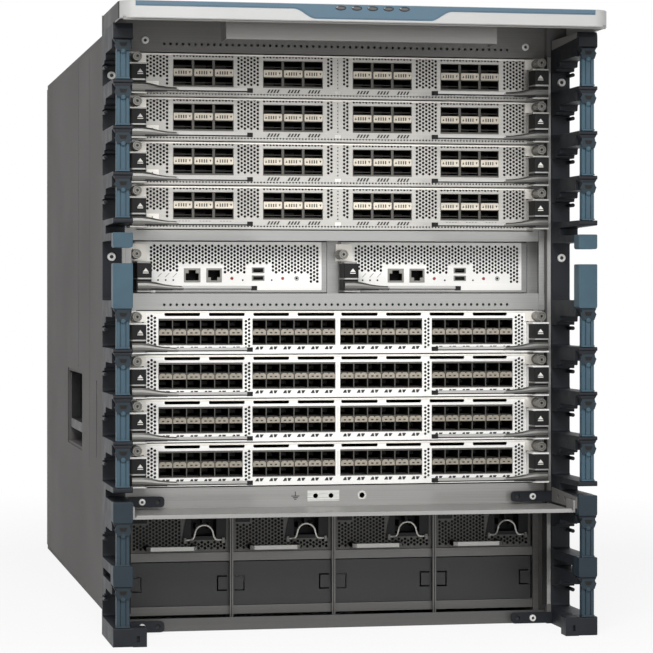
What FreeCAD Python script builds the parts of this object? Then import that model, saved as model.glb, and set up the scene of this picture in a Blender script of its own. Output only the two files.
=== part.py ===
import FreeCAD, Part
import math
import os
import re

import Sketcher

# Modular chassis switch, 14 rack units, millimetres.
# X runs across the front, Z is up, and Y runs from the front to the back.  While the pieces are
# drawn, Y = 0 is the face of the I/O cards and Z = 0 the floor; each sub-part's Placement then
# shifts it so that the origin lies under the middle of the whole product.

SIZES = {
    # whole product
    "rack_width": 482.6,          # 19-inch rack ears
    "ear_width": 21.6,
    "body_depth": 886.6,          # card face to the back
    "sheet": 2.0,                 # thickness of the steel sheets
    "slide_gap": 0.7,             # beside what slides
    "rest_gap": 0.3,              # under what rests on a rail
    # heights, from the floor up
    "base_height": 13.0,
    "caption_height": 8.8,        # strips under both rows of power units
    "unit_height": 44.6,          # power unit
    "unit_gap": 0.5,
    "shelf_panel_height": 23.2,
    "slot_pitch": 44.45,          # I/O slot
    "hole_panel_height": 17.2,
    "control_height": 53.6,       # bay of the two supervisors
    "rail_height": 10.7,
    "header_height": 34.9,
    # depths
    "ear_front": 9.0,             # the ears stand this far ahead of the card faces
    "cage_depth": 400.0,
    "cage_end_gap": 3.0,          # shelves and wells to the midplane
    "control_recess": 27.0,       # supervisors and power units lie this far back
    "board_depth": 3.0,           # midplane board
    # card cage and I/O cards
    "tray_sheet": 1.5,
    "tray_drop": 3.5,             # top of a tray's walls below the top of its slot
    "cage_wall": 13.7,            # card cage to the outside of the body
    "rail_size": 2.0,
    "face_margin": 5.2,           # I/O faceplate to the outside of the body
    "face_flange": 9.0,
    "card_travel_room": 8.0,      # tray end to the midplane
    "board_thickness": 1.6,
    "board_level": 9.3,           # top of the card's board, where the port cages sit
    "board_clearance": 3.9,       # under the board
    "block_depth": 48.0,
    "block_lip": 0.6,             # port block ahead of the faceplate
    "port_depth": 44.0,
    "wide_port_width": 18.4,
    "wide_port_height": 8.5,
    "wide_port_pitch": 21.0,
    "wide_row_pitch": 16.7,
    "wide_rise": 2.9,             # lower row above the bottom of the port block
    "wide_block": 28.7,           # height of the port block
    "wide_border": 1.9,
    "wide_near": 14.2,            # first group of wide ports to the middle
    "wide_gap": 27.6,             # between the two groups on each side
    "wide_end": 33.0,             # least room beside the second group
    "small_port_width": 13.4,
    "small_port_height": 8.7,
    "small_port_pitch": 14.3,
    "small_row_pitch": 15.3,
    "small_rise": 1.2,
    "small_block": 27.0,
    "small_border": 0.4,
    "small_near": 2.4,
    "small_gap": 9.9,
    "small_end": 20.0,
    "plug_inset": 60.0,           # plugs toward the midplane
    "plug_width": 70.0,
    "plug_height": 18.0,
    "plug_depth": 22.0,
    "plug_reach": 4.8,
    "sink_width": 90.0,           # heat sink on the board
    "sink_depth": 90.0,
    "sink_height": 20.0,
    "sink_start": 176.4,
    "screw_radius": 5.0,          # captive screws
    "screw_length": 25.0,
    "screw_inset": 12.3,          # screw to the outside of the body
    "screw_level": 38.3,
    # ejectors
    "pivot_inset": 13.2,          # I/O ejector's pivot to the outside of the body
    "pivot_reach": 19.0,          # pivot ahead of the faceplate
    "head_radius": 12.5,
    "head_low": 3.2,
    "head_high": 30.3,
    "lever_length": 115.0,
    "lever_height": 4.4,
    "lever_depth": 4.0,
    "bracket_plate": 1.5,
    "bracket_width": 17.0,
    # supervisors
    "post_width": 12.0,
    "control_floor": 1.0,
    "control_face_height": 51.6,
    "control_pivot": 7.1,         # ejector's pivot to the side of the faceplate
    "control_bracket": 13.0,
    "control_bracket_inset": 0.6,
    "control_screw_inset": 7.5,
    "control_screw_lift": 1.5,
    "control_board_level": 11.4,
    "socket_wall": 1.6,
    "socket_lip": 1.0,
    "socket_depth": 20.0,
    "socket_back": 4.0,
    # power units
    "bay_wall": 7.7,              # power bay's wall to the outside of the body
    "divider": 2.5,
    "unit_side_gap": 0.7,
    "unit_depth": 400.0,
    "wall_reach": 3.0,            # side walls ahead of the power units
    "outlet_margin": 8.0,         # openings in the back wall
    "outlet_rim": 6.0,
    "blank_depth": 60.0,
    "inlet_left": 4.0,            # inlet recess, from the middle of the unit
    "inlet_width": 42.0,
    "inlet_low": 13.0,
    "inlet_high": 42.0,
    "inlet_depth": 22.0,
    "mouth_width": 26.0,          # collar of the power inlet
    "mouth_set": 5.0,
    "mouth_rise": 3.0,
    "mouth_top": 4.0,
    "mouth_wall": 3.0,
    "mouth_lip": 4.0,
    "grip_left": 36.0,            # power unit's grip, from the middle of the unit
    "grip_width": 52.0,
    "grip_rise": 3.5,
    "grip_reach": 22.0,
    "grip_bar": 4.0,
    "clip_wire": 1.8,             # cord clip
    "clip_span": 36.0,
    "clip_arch": 10.5,
    "clip_rise": 8.0,
    "clip_set": 2.5,              # hinge ahead of the unit's face
    "clip_drop": 1.0,             # hinge below the inlet recess
    "clip_lug": 3.0,
    "clip_lug_reach": 5.0,
    "latch_width": 10.5,
    "latch_height": 16.0,
    "latch_slit": 1.6,
    # shelf and lower panel
    "shelf_reach": 100.0,
    "shelf_hem": 1.8,
    "shelf_end_height": 10.0,
    "shelf_side_gap": 0.3,
    "shelf_end_depth": 25.0,
    "lug_spacing": 15.9,
    "lug_hole": 5.0,
    "lug_offset": 15.1,
    "jack_offset": 25.0,
    "jack_hole": 5.5,
    # hood
    "hood_height": 17.0,
    "hood_reach": 156.0,
    "hood_inset": 0.7,            # hood's side to the end of the rack ear
    "hood_wall": 2.5,
    "hood_corner": 9.0,
    "lip_half": 134.3,
    "lip_drop": 15.5,
    "lip_set": 124.0,
    "trim_depth": 0.8,
    "trim_band": 4.7,
    "swoosh_drop": 14.0,
    "swoosh_left": 70.0,
    "swoosh_right": 78.0,
    "swoosh_blend": 16.0,
    "lens_width": 10.5,
    "lens_height": 4.8,
    "lens_pitch": 15.6,
    "lens_middle": 3.2,
    "lens_lift": 0.6,
    "lens_drop": 3.9,             # top of the hood to the middle of the lenses
    # cable frames
    "frame_gap": 2.0,             # frame to the side of the body
    "frame_reach": 110.0,
    "frame_plate": 3.0,
    "arm_height": 14.0,
    "arm_rise": 8.3,              # window above the bottom of its slot
    "low_window_drop": 3.7,       # windows beside the power units
    "low_window_top": 27.4,
    "high_window_rise": 1.0,
    "high_window_top": 34.0,
    "mid_window_rise": 29.0,      # gap beside the supervisors
    "mid_window_top": 44.0,
    "slot_drop": 7.4,             # narrow slot in the arm between the power rows
    "slot_rise": 0.6,
    "slot_margin": 6.0,
    "lobe_depth": 29.0,           # two lobes under the root of each arm
    "lobe_drop": 6.0,
    "inner_lobe_depth": 17.0,
    "inner_lobe_drop": 9.3,
    "gate_depth": 8.0,
    "gate_set": 0.5,              # behind the front of its frame
    "gate_inset": 3.2,
    "gate_hook": 5.0,
    "gate_hook_depth": 2.8,
    "post_depth": 17.7,
    "foot_width": 13.5,
    "tab_reach": 38.0,
    "tab_height": 11.0,
    "tab_rise": 1.0,
    "frame_screw_radius": 4.2,
    "frame_screw_head": 2.2,
    "ear_screw_inset": 9.0,
    "ear_screw_drop": 25.0,
    "ear_screw_rise": 36.5,
    "tab_screw_inset": 16.0,
    "header_screw_inset": 20.5,
    "header_screw_rise": 12.0,
    # side handles
    "well_gap": 5.0,              # behind the card cage
    "well_length": 175.0,
    "well_low": 160.0,
    "well_height": 89.0,
    "well_depth": 20.0,
    "bail_bar": 11.0,
    "bail_drop": 66.0,
    "bail_set": 2.0,              # behind the face of the side panel
    "bail_room": 3.0,             # above the handle, so that it can turn
    # back
    "fan_depth": 118.0,
    "fan_window": 126.0,
    "fan_recess": 4.0,
    "fan_grip": 7.0,
    "fan_grip_half": 30.0,
    "fan_grip_height": 5.0,
    "fan_grip_margin": 4.0,
    "fabric_gap": 2.6,            # between fabric modules
    "plenum_depth": 65.6,         # free space between those and the fan trays
}

# Levels and places worked out from the sizes, each named once.
PLACES = {
    "half_body": "(rack_width/2 - ear_width)",
    "half_rack": "(rack_width/2)",
    "inner": "(half_body - sheet)",
    "low_unit_z": "(base_height + caption_height + unit_gap)",
    "middle_z": "(low_unit_z + unit_height + unit_gap)",
    "high_unit_z": "(middle_z + caption_height + unit_gap)",
    "shelf_z": "(high_unit_z + unit_height + unit_gap)",
    "low_slots_z": "(shelf_z + shelf_panel_height)",
    "hole_panel_z": "(low_slots_z + 4*slot_pitch)",
    "control_z": "(hole_panel_z + hole_panel_height)",
    "rail_z": "(control_z + control_height)",
    "high_slots_z": "(rail_z + rail_height)",
    "header_z": "(high_slots_z + 4*slot_pitch)",
    "top_z": "(header_z + header_height)",
    "hood_z": "(top_z - hood_height)",
    "cage_half": "(half_body - cage_wall)",
    "tray_half": "(cage_half - slide_gap)",
    "rail_top": "(board_level - board_thickness - board_clearance)",
    "tray_z": "(rail_top + rest_gap)",
    "frame_in": "(half_body + frame_gap)",
    "plate_front": "(ear_front + frame_plate)",
    "bay_half": "(half_body - bay_wall)",
    "unit_pitch": "(bay_half/2)",
    "unit_width": "(unit_pitch - divider - 2*unit_side_gap)",
    "control_width": "(cage_half - post_width/2 - 2*slide_gap)",
    "control_pitch": "(cage_half + post_width/2)",
    "fan_front": "(body_depth - fan_depth)",
    "fan_pitch": "(2*inner/3)",   # three fan trays
    "fabric_half": "(inner - well_depth - 2*sheet)",
    "fabric_back": "(fan_front - plenum_depth)",
    "well_start": "(cage_depth + well_gap)",
    "shelf_back": "(cage_depth - cage_end_gap)",
    "tray_back": "(cage_depth - card_travel_room)",
    "window_height": "(slot_pitch - arm_height)",
}

SLOTS = 4                         # in each of the two banks of I/O slots
FABRICS = 6
LENSES = 5
UNITS = 4                         # in each of the two rows of power units
FAN_TRAYS = 3
FANS = 3                          # in each tray
ROUND_SIDES = 8                   # of a small round head

# Sockets of a supervisor: from the left of its face, width, from its bottom, height.
JACKS = [(51.0, 17.0, 11.4, 14.2), (74.0, 16.0, 11.4, 14.2)]
USB_PORTS = [(121.0, 13.0, 13.0, 5.4), (121.0, 13.0, 20.8, 5.8)]
WIDE = "wide"
SMALL = "small"

doc = FreeCAD.newDocument("ModularChassisSwitch")
nodes = []


def expand(formula):
    """Write a formula of size and place names as an expression on the spreadsheet."""
    def replace(match):
        word = match.group(0)
        if word in PLACES:
            return expand(PLACES[word])
        return "Sizes." + word if word in SIZES else word
    return re.sub(r"[a-z]\w+", replace, formula)


def fill_sheet():
    """Put every driving size in the spreadsheet, one aliased cell each."""
    sheet = doc.addObject("Spreadsheet::Sheet", "Sizes")
    for row, (name, value) in enumerate(SIZES.items(), 1):
        sheet.set("A%d" % row, name)
        sheet.set("B%d" % row, str(value))
        sheet.setAlias("B%d" % row, name)
    doc.recompute()
    return sheet


# ---------------------------------------------------------------- drawing helpers

def new_body(name):
    """Start a body, which may hold several separate solids."""
    body = doc.addObject("PartDesign::Body", name)
    body.AllowCompound = True
    return body


def origin_feature(body, role):
    """Find one of the body's own origin planes or axes."""
    return next(item for item in body.Origin.OriginFeatures if item.Role == role)


def rectangle(left, right, low, high):
    """Corners of an upright rectangle."""
    return [(left, low), (right, low), (right, high), (left, high)]


def value(formula):
    """Work out a formula of size and place names as a number."""
    def replace(match):
        word = match.group(0)
        return value_text(PLACES[word]) if word in PLACES else repr(SIZES[word])

    def value_text(text):
        return re.sub(r"[a-z]\w+", replace, text)
    probe = doc.addObject("App::FeaturePython", "Probe")
    probe.addProperty("App::PropertyFloat", "Result")
    probe.setExpression("Result", value_text(formula))
    probe.recompute()
    result = probe.Result
    doc.removeObject(probe.Name)
    return result


def disc(across, along, radius):
    """Corners of a regular polygon, for a knurled or small round head."""
    corners = []
    for k in range(ROUND_SIDES):
        turn = 2 * math.pi * (k + 0.5) / ROUND_SIDES
        corners.append(("%s + %.4f*(%s)" % (across, math.cos(turn), radius),
                        "%s + %.4f*(%s)" % (along, math.sin(turn), radius)))
    return corners


def draw_polygon(sketch, corners):
    """Add a closed polygon whose corners are bound to formulas."""
    count = len(corners)
    first = sketch.GeometryCount
    start = sketch.ConstraintCount
    turn = 2 * math.pi / count
    ring = [FreeCAD.Vector(math.cos(k * turn), math.sin(k * turn), 0) * 100 for k in range(count)]
    sketch.addGeometry([Part.LineSegment(ring[k], ring[(k + 1) % count]) for k in range(count)])
    rules = []
    formulas = []
    for k, (across, along) in enumerate(corners):
        rules.append(Sketcher.Constraint("Coincident", first + k, 2, first + (k + 1) % count, 1))
        rules.append(Sketcher.Constraint("DistanceX", -1, 1, first + k, 1, ring[k].x))
        rules.append(Sketcher.Constraint("DistanceY", -1, 1, first + k, 1, ring[k].y))
        formulas.append((3 * k + 1, across))
        formulas.append((3 * k + 2, along))
    sketch.addConstraint(rules)
    for number, formula in formulas:
        sketch.setExpression("Constraints[%d]" % (start + number), expand(formula))


def draw_circle(sketch, across, along, radius):
    """Add a circle whose centre and radius are bound to formulas."""
    first = sketch.GeometryCount
    start = sketch.ConstraintCount
    sketch.addGeometry(Part.Circle(FreeCAD.Vector(1, 1, 0), FreeCAD.Vector(0, 0, 1), 1))
    sketch.addConstraint([
        Sketcher.Constraint("DistanceX", -1, 1, first, 3, 1),
        Sketcher.Constraint("DistanceY", -1, 1, first, 3, 1),
        Sketcher.Constraint("Radius", first, 1),
    ])
    for number, formula in enumerate((across, along, radius)):
        sketch.setExpression("Constraints[%d]" % (start + number), expand(formula))


def extrude(body, plane, loops, start, end, cut=False):
    """Pad or pocket loops drawn across the plane, from start to end along its world axis.

    A loop is a list of corners, or a tuple of a circle's centre and radius.
    """
    backwards = plane == "XZ"     # this plane's normal is -Y
    sketch = body.newObject("Sketcher::SketchObject", body.Name + "_sketch")
    sketch.AttachmentSupport = (origin_feature(body, plane + "_Plane"), [""])
    sketch.MapMode = "FlatFace"
    offset = "-1*(%s)" if backwards else "1*(%s)"
    sketch.setExpression("AttachmentOffset.Base.z", expand(offset % start))
    for loop in loops:
        if isinstance(loop, tuple):
            draw_circle(sketch, *loop)
        else:
            draw_polygon(sketch, loop)
    kind = "Pocket" if cut else "Pad"
    feature = body.newObject("PartDesign::" + kind, body.Name + "_" + kind.lower())
    feature.Profile = sketch
    feature.setExpression("Length", expand("(%s) - (%s)" % (end, start)))
    feature.Reversed = backwards != cut
    return feature


def repeat(body, feature, *rows):
    """Repeat a feature in rows, each given as an axis role, a pitch formula and a count."""
    steps = []
    for axis, pitch, count in rows:
        step = body.newObject("PartDesign::LinearPattern", body.Name + "_row")
        step.Direction = (origin_feature(body, axis), [""])
        step.setExpression("Length", expand("%d*(%s)" % (count - 1, pitch)))
        step.Occurrences = count
        steps.append(step)
    pattern = body.newObject("PartDesign::MultiTransform", body.Name + "_pattern")
    pattern.Originals = [feature]
    pattern.Transformations = steps
    body.Tip = pattern
    return pattern


def box(name, left, right, front, back, low, high):
    """Make a Part::Box between bound faces."""
    solid = doc.addObject("Part::Box", name)
    solid.setExpression("Length", expand("(%s) - (%s)" % (right, left)))
    solid.setExpression("Width", expand("(%s) - (%s)" % (back, front)))
    solid.setExpression("Height", expand("(%s) - (%s)" % (high, low)))
    for axis, formula in zip("xyz", (left, front, low)):
        solid.setExpression("Placement.Base." + axis, expand(formula))
    return solid


def place(part, across="0", along="0", up="0"):
    """Bind a part's place; every node also moves back to the product's origin."""
    origin = "-(body_depth - hood_reach - trim_depth - lens_lift)/2"
    for axis, formula in zip("xyz", (across, "(%s) + %s" % (along, origin), up)):
        part.setExpression("Placement.Base." + axis, expand("1*(%s)" % formula))


def node(label, pieces, across="0", along="0", up="0"):
    """Make the node of this name from its pieces."""
    part = doc.addObject("Part::Compound", label)
    part.Label = label
    part.Links = pieces
    place(part, across, along, up)
    nodes.append(part)
    return part


def mirrored(source):
    """Mirror one piece from left to right."""
    part = doc.addObject("Part::Mirroring", source.Name + "_mirrored")
    part.Source = source
    part.Normal = (1, 0, 0)
    return part


def pair(source):
    """Give a piece and its mirror image, for what stands on both sides of one node."""
    return [source, mirrored(source)]


# ---------------------------------------------------------------- housing

def build_side_panels():
    """Folded side sheets with their rack ears and the wells of the lifting handles."""
    body = new_body("side_panel")
    fold = [
        ("-half_rack", "-ear_front"),
        ("-inner", "-ear_front"),
        ("-inner", "body_depth"),
        ("-half_body", "body_depth"),
        ("-half_body", "sheet - ear_front"),
        ("-half_rack", "sheet - ear_front"),
    ]
    extrude(body, "XY", [fold], "0", "top_z")
    well = rectangle("well_start", "well_start + well_length", "well_low", "well_low + well_height")
    extrude(body, "YZ", [well], "-half_body", "well_depth + sheet - half_body")
    hollow = rectangle(
        "well_start + sheet", "well_start + well_length - sheet",
        "well_low + sheet", "well_low + well_height - sheet")
    extrude(body, "YZ", [hollow], "-half_body", "well_depth - half_body", cut=True)
    node("left_side_panel", [body])
    node("right_side_panel", [mirrored(body)])


def build_handles():
    """Folding lifting handles, hinged along the top of their wells."""
    body = new_body("lifting_handle")
    front = "(well_start + sheet + rest_gap)"
    back = "(well_start + well_length - sheet - rest_gap)"
    top = "(well_low + well_height - sheet - bail_room)"
    bail = [
        (front, top),
        (front, top + " - bail_drop"),
        (back, top + " - bail_drop"),
        (back, top),
        (back + " - bail_bar", top),
        (back + " - bail_bar", top + " - bail_drop + bail_bar"),
        (front + " + bail_bar", top + " - bail_drop + bail_bar"),
        (front + " + bail_bar", top),
    ]
    extrude(body, "YZ", [bail], "bail_set - half_body", "bail_set + bail_bar - half_body")
    node("left_handle", [body])
    node("right_handle", [mirrored(body)])


def build_top_panel():
    """Top sheet, folded down at the front as the header."""
    body = new_body("top_sheet")
    fold = [
        ("-ear_front", "top_z - sheet"),
        ("0", "top_z - sheet"),
        ("0", "header_z + unit_gap"),
        ("sheet", "header_z + unit_gap"),
        ("sheet", "top_z - sheet"),
        ("body_depth", "top_z - sheet"),
        ("body_depth", "top_z"),
        ("-ear_front", "top_z"),
    ]
    extrude(body, "YZ", [fold], "-inner", "inner")
    node("top_panel", [body])


def build_base_pan():
    """Base sheet with its front strip, and the back wall of the power bay with its outlets."""
    body = new_body("base_sheet")
    fold = [
        ("0", "0"),
        ("body_depth", "0"),
        ("body_depth", "shelf_z"),
        ("body_depth - sheet", "shelf_z"),
        ("body_depth - sheet", "sheet"),
        ("sheet", "sheet"),
        ("sheet", "base_height"),
        ("0", "base_height"),
    ]
    extrude(body, "YZ", [fold], "-inner", "inner")
    outlet = rectangle(
        "-1.5*unit_pitch - unit_width/2 + outlet_margin",
        "-1.5*unit_pitch + unit_width/2 - outlet_margin",
        "low_unit_z + outlet_rim", "low_unit_z + unit_height - outlet_rim")
    opening = extrude(body, "XZ", [outlet], "body_depth - sheet", "body_depth", cut=True)
    repeat(body, opening,
           ("X_Axis", "unit_pitch", UNITS), ("Z_Axis", "high_unit_z - low_unit_z", 2))
    node("base_pan", [body])


def build_card_cage():
    """Side walls of the card cage with their front flanges and one rail under each module."""
    body = new_body("cage_side")
    wall = [
        ("-inner", "sheet"),
        ("-cage_half", "sheet"),
        ("-cage_half", "cage_depth"),
        ("-cage_half - sheet", "cage_depth"),
        ("-cage_half - sheet", "2*sheet"),
        ("-inner", "2*sheet"),
    ]
    extrude(body, "XY", [wall], "shelf_z + sheet", "top_z - sheet")
    relief = rectangle("-inner", "-cage_half + 1", "control_z", "rail_z")
    extrude(body, "XZ", [relief], "sheet", "control_recess + sheet", cut=True)
    control_rail = rectangle(
        "-cage_half", "rail_size - cage_half",
        "control_z + control_floor - rail_size", "control_z + control_floor - rest_gap")
    extrude(body, "XZ", [control_rail], "control_recess + 2*sheet", "cage_depth")
    rails = [
        rectangle("-cage_half", "rail_size - cage_half",
                  bank + " + rail_top - rail_size", bank + " + rail_top")
        for bank in ("low_slots_z", "high_slots_z")
    ]
    rail = extrude(body, "XZ", rails, "face_flange + rest_gap", "cage_depth")
    repeat(body, rail, ("Z_Axis", "slot_pitch", SLOTS))
    node("card_cage", pair(body))


def build_midplane():
    """Midplane board with the six fabric modules plugged into its back."""
    board = box(
        "midplane_board", "-inner", "inner", "cage_depth", "cage_depth + board_depth",
        "shelf_z + sheet", "top_z - 2*sheet")
    modules = new_body("fabric_modules")
    pitch = "(2*fabric_half/%d)" % FABRICS
    first = rectangle(
        "-fabric_half", "%s - fabric_half - fabric_gap" % pitch, "low_slots_z", "header_z")
    module = extrude(modules, "XZ", [first], "cage_depth + board_depth", "fabric_back")
    repeat(modules, module, ("X_Axis", pitch, FABRICS))
    node("midplane", [board, modules])


def build_supervisor_frame():
    """Rail above the supervisors, hole panel below them and the post between them."""
    body = new_body("control_bay")
    sill = [
        ("0", "hole_panel_z + unit_gap"),
        ("sheet", "hole_panel_z + unit_gap"),
        ("sheet", "control_z - sheet"),
        ("shelf_back", "control_z - sheet"),
        ("shelf_back", "control_z"),
        ("0", "control_z"),
    ]
    lintel = [
        ("0", "rail_z"),
        ("control_recess + sheet", "rail_z"),
        ("control_recess + sheet", "rail_z + sheet"),
        ("sheet", "rail_z + sheet"),
        ("sheet", "high_slots_z - unit_gap"),
        ("0", "high_slots_z - unit_gap"),
    ]
    extrude(body, "YZ", [sill, lintel], "-cage_half + rail_size", "cage_half - rail_size")
    ends = [
        rectangle("-inner", "rail_size - cage_half", "hole_panel_z + unit_gap", "control_z"),
        rectangle("cage_half - rail_size", "inner", "hole_panel_z + unit_gap", "control_z"),
        rectangle("-inner", "rail_size - cage_half", "rail_z", "high_slots_z - unit_gap"),
        rectangle("cage_half - rail_size", "inner", "rail_z", "high_slots_z - unit_gap"),
    ]
    extrude(body, "XZ", ends, "0", "sheet")
    post = rectangle("-post_width/2", "post_width/2", "control_z", "rail_z")
    sides = [
        rectangle("-inner", "-cage_half", "control_z", "rail_z"),
        rectangle("cage_half", "inner", "control_z", "rail_z"),
    ]
    extrude(body, "XZ", [post] + sides, "control_recess", "control_recess + sheet")
    node("supervisor_frame", [body])


def build_lower_panel():
    """Deck between the cards and the power bay, with the shelf and the lug panel."""
    body = new_body("deck")
    fold = [
        ("-shelf_reach", "shelf_z"),
        ("body_depth", "shelf_z"),
        ("body_depth", "shelf_z + sheet"),
        ("sheet", "shelf_z + sheet"),
        ("sheet", "low_slots_z - unit_gap"),
        ("0", "low_slots_z - unit_gap"),
        ("0", "shelf_z + sheet"),
        ("sheet - shelf_reach", "shelf_z + sheet"),
        ("sheet - shelf_reach", "shelf_z + sheet + shelf_hem"),
        ("-shelf_reach", "shelf_z + sheet + shelf_hem"),
    ]
    extrude(body, "YZ", [fold], "-inner", "inner")
    half = "(frame_in - shelf_side_gap)"
    wings = [
        rectangle("-" + half, "-inner", "-shelf_reach", "-plate_front - rest_gap"),
        rectangle("inner", half, "-shelf_reach", "-plate_front - rest_gap"),
    ]
    extrude(body, "XY", wings, "shelf_z", "shelf_z + sheet")
    ends = [
        rectangle("-" + half, "sheet - " + half, "-shelf_reach", "shelf_end_depth - shelf_reach"),
        rectangle(half + " - sheet", half, "-shelf_reach", "shelf_end_depth - shelf_reach"),
    ]
    extrude(body, "XY", ends, "shelf_z + sheet", "shelf_z + sheet + shelf_end_height")
    level = "(shelf_z + shelf_panel_height/2 + sheet/2)"
    holes = [
        ("-lug_offset - lug_spacing/2", level, "lug_hole/2"),
        ("-lug_offset + lug_spacing/2", level, "lug_hole/2"),
        ("jack_offset", level, "jack_hole/2"),
    ]
    extrude(body, "XZ", holes, "0", "sheet", cut=True)
    node("lower_panel", [body])


def build_power_bay():
    """Caption strips, decks, side walls and dividers around the eight power units."""
    body = new_body("power_bay")
    front = "(control_recess)"
    back = "(control_recess + unit_depth)"
    wall = "(control_recess - wall_reach)"
    strips = []
    for level in ("base_height", "middle_z"):
        strips.append([
            (front, level),
            (front + " + sheet", level),
            (front + " + sheet", level + " + caption_height - sheet"),
            (back, level + " + caption_height - sheet"),
            (back, level + " + caption_height"),
            (front, level + " + caption_height"),
        ])
    extrude(body, "YZ", strips, "-bay_half", "bay_half")
    walls = [
        rectangle("-bay_half - sheet", "-bay_half", wall, back),
        rectangle("bay_half", "bay_half + sheet", wall, back),
        rectangle("-inner", "-bay_half - sheet", wall, wall + " + sheet"),
        rectangle("bay_half + sheet", "inner", wall, wall + " + sheet"),
    ]
    extrude(body, "XY", walls, "sheet", "shelf_z")
    dividers = [
        rectangle("(%d)*unit_pitch - divider/2" % k, "(%d)*unit_pitch + divider/2" % k, front, back)
        for k in (-1, 0, 1)
    ]
    extrude(body, "XY", dividers, "base_height", "shelf_z")
    node("power_bay_frame", [body])


def build_hood():
    """Hood over the front, open below and behind, with the plate that hangs under it."""
    body = new_body("hood_shell")
    half = "(half_rack - hood_inset)"
    plan = [
        ("-" + half, "-ear_front"),
        ("-" + half, "hood_corner - hood_reach"),
        ("hood_corner - " + half, "-hood_reach"),
        (half + " - hood_corner", "-hood_reach"),
        (half, "hood_corner - hood_reach"),
        (half, "-ear_front"),
    ]
    extrude(body, "XY", [plan], "hood_z", "top_z")
    inside = [
        ("hood_wall - " + half, "-ear_front"),
        ("hood_wall - " + half, "hood_corner - hood_reach"),
        ("hood_corner + hood_wall/2 - " + half, "hood_wall - hood_reach"),
        (half + " - hood_corner - hood_wall/2", "hood_wall - hood_reach"),
        (half + " - hood_wall", "hood_corner - hood_reach"),
        (half + " - hood_wall", "-ear_front"),
    ]
    extrude(body, "XY", [inside], "hood_z", "top_z - hood_wall", cut=True)
    lip = box(
        "hood_lip", "-lip_half", "lip_half", "-lip_set - sheet", "-lip_set",
        "hood_z - lip_drop", "top_z - hood_wall")
    node("hood", [body, lip])


def build_hood_trim():
    """Trim band across the hood with its dip, and the five lenses on it."""
    body = new_body("trim_band")
    half = "(half_rack - hood_inset - hood_corner)"
    back = "-hood_reach"
    band = "(top_z - trim_band)"
    curve = []
    steps = (0.0, 0.15, 0.5, 0.85, 1.0)
    for share in steps:
        drop = (1 - math.cos(math.pi * share)) / 2
        curve.append(("-swoosh_left + %g*swoosh_blend" % share,
                      "%s - %g*(swoosh_drop - trim_band)" % (band, drop)))
    for share in reversed(steps):
        drop = (1 - math.cos(math.pi * share)) / 2
        curve.append(("swoosh_right - %g*swoosh_blend" % share,
                      "%s - %g*(swoosh_drop - trim_band)" % (band, drop)))
    outline = [("-" + half, "top_z"), ("-" + half, band)] + curve + [(half, band), (half, "top_z")]
    extrude(body, "XZ", [outline], "-hood_reach - trim_depth", back)
    lenses = new_body("lenses")
    middle = "(top_z - lens_drop)"
    first = "(lens_middle - lens_pitch*%g)" % ((LENSES - 1) / 2)
    oval = []
    for k in range(12):
        turn = 2 * math.pi * (k + 0.5) / 12
        oval.append(("%s + %.5f*lens_width/2" % (first, math.cos(turn)),
                     "%s + %.5f*lens_height/2" % (middle, math.sin(turn))))
    front = "(-hood_reach - trim_depth)"
    lens = extrude(lenses, "XZ", [oval], front + " - lens_lift", front)
    repeat(lenses, lens, ("X_Axis", "lens_pitch", LENSES))
    node("hood_trim", [body, lenses])


# ---------------------------------------------------------------- cable frames

def window(low, high):
    """Side view of one cable window, open to the front, with the lobes of the arm above it."""
    front = "-frame_reach"
    back = "-plate_front"
    lobe = "(-plate_front - lobe_depth)"
    inner_lobe = "(-plate_front - inner_lobe_depth)"
    return [
        (front, low),
        (back, low),
        (back, high + " - inner_lobe_drop"),
        (inner_lobe, high + " - inner_lobe_drop"),
        (inner_lobe, high + " - lobe_drop"),
        (lobe, high + " - lobe_drop"),
        (lobe, high),
        (front, high),
    ]


def power_windows():
    """Bottom and top of the two windows beside the power units."""
    return [("low_unit_z - low_window_drop", "low_unit_z + low_window_top"),
            ("high_unit_z + high_window_rise", "high_unit_z + high_window_top")]


def bank_windows():
    """Bottom and top of the first window of each bank of I/O slots."""
    return [(bank + " + arm_rise", bank + " + arm_rise + window_height")
            for bank in ("low_slots_z", "high_slots_z")]


def build_cable_frames():
    """Cable frames on the rack ears: a back plate with an arm at each slot boundary."""
    body = new_body("cable_frame")
    side = rectangle("-frame_reach", "-ear_front", "0", "hood_z")
    extrude(body, "YZ", [side], "-half_rack", "-frame_in")
    bank = extrude(
        body, "YZ", [window(low, high) for low, high in bank_windows()],
        "-half_rack", "-frame_in", cut=True)
    repeat(body, bank, ("Z_Axis", "slot_pitch", SLOTS))
    singles = [window(low, high) for low, high in power_windows()]
    singles.append(rectangle("-frame_reach", "-plate_front",
                             "control_z + mid_window_rise", "control_z + mid_window_top"))
    singles.append(rectangle("post_depth - frame_reach + slot_margin", "-plate_front - slot_margin",
                             "middle_z - slot_drop", "middle_z + slot_rise"))
    extrude(body, "YZ", singles, "-half_rack", "-frame_in", cut=True)
    upper = "(shelf_z + 2*sheet)"
    tabs = [
        rectangle("-frame_in", "tab_reach - frame_in", "tab_rise", "tab_rise + tab_height"),
        rectangle("-frame_in", "tab_reach - frame_in", upper + " + rest_gap", upper + " + tab_height"),
    ]
    extrude(body, "XZ", tabs, "-plate_front", "-ear_front")
    foot = rectangle("-frame_in", "foot_width - frame_in", "0", "low_unit_z - low_window_drop")
    extrude(body, "XZ", [foot], "-frame_reach", "post_depth - frame_reach")
    node("left_cable_frame", [body])
    node("right_cable_frame", [mirrored(body)])


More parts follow.
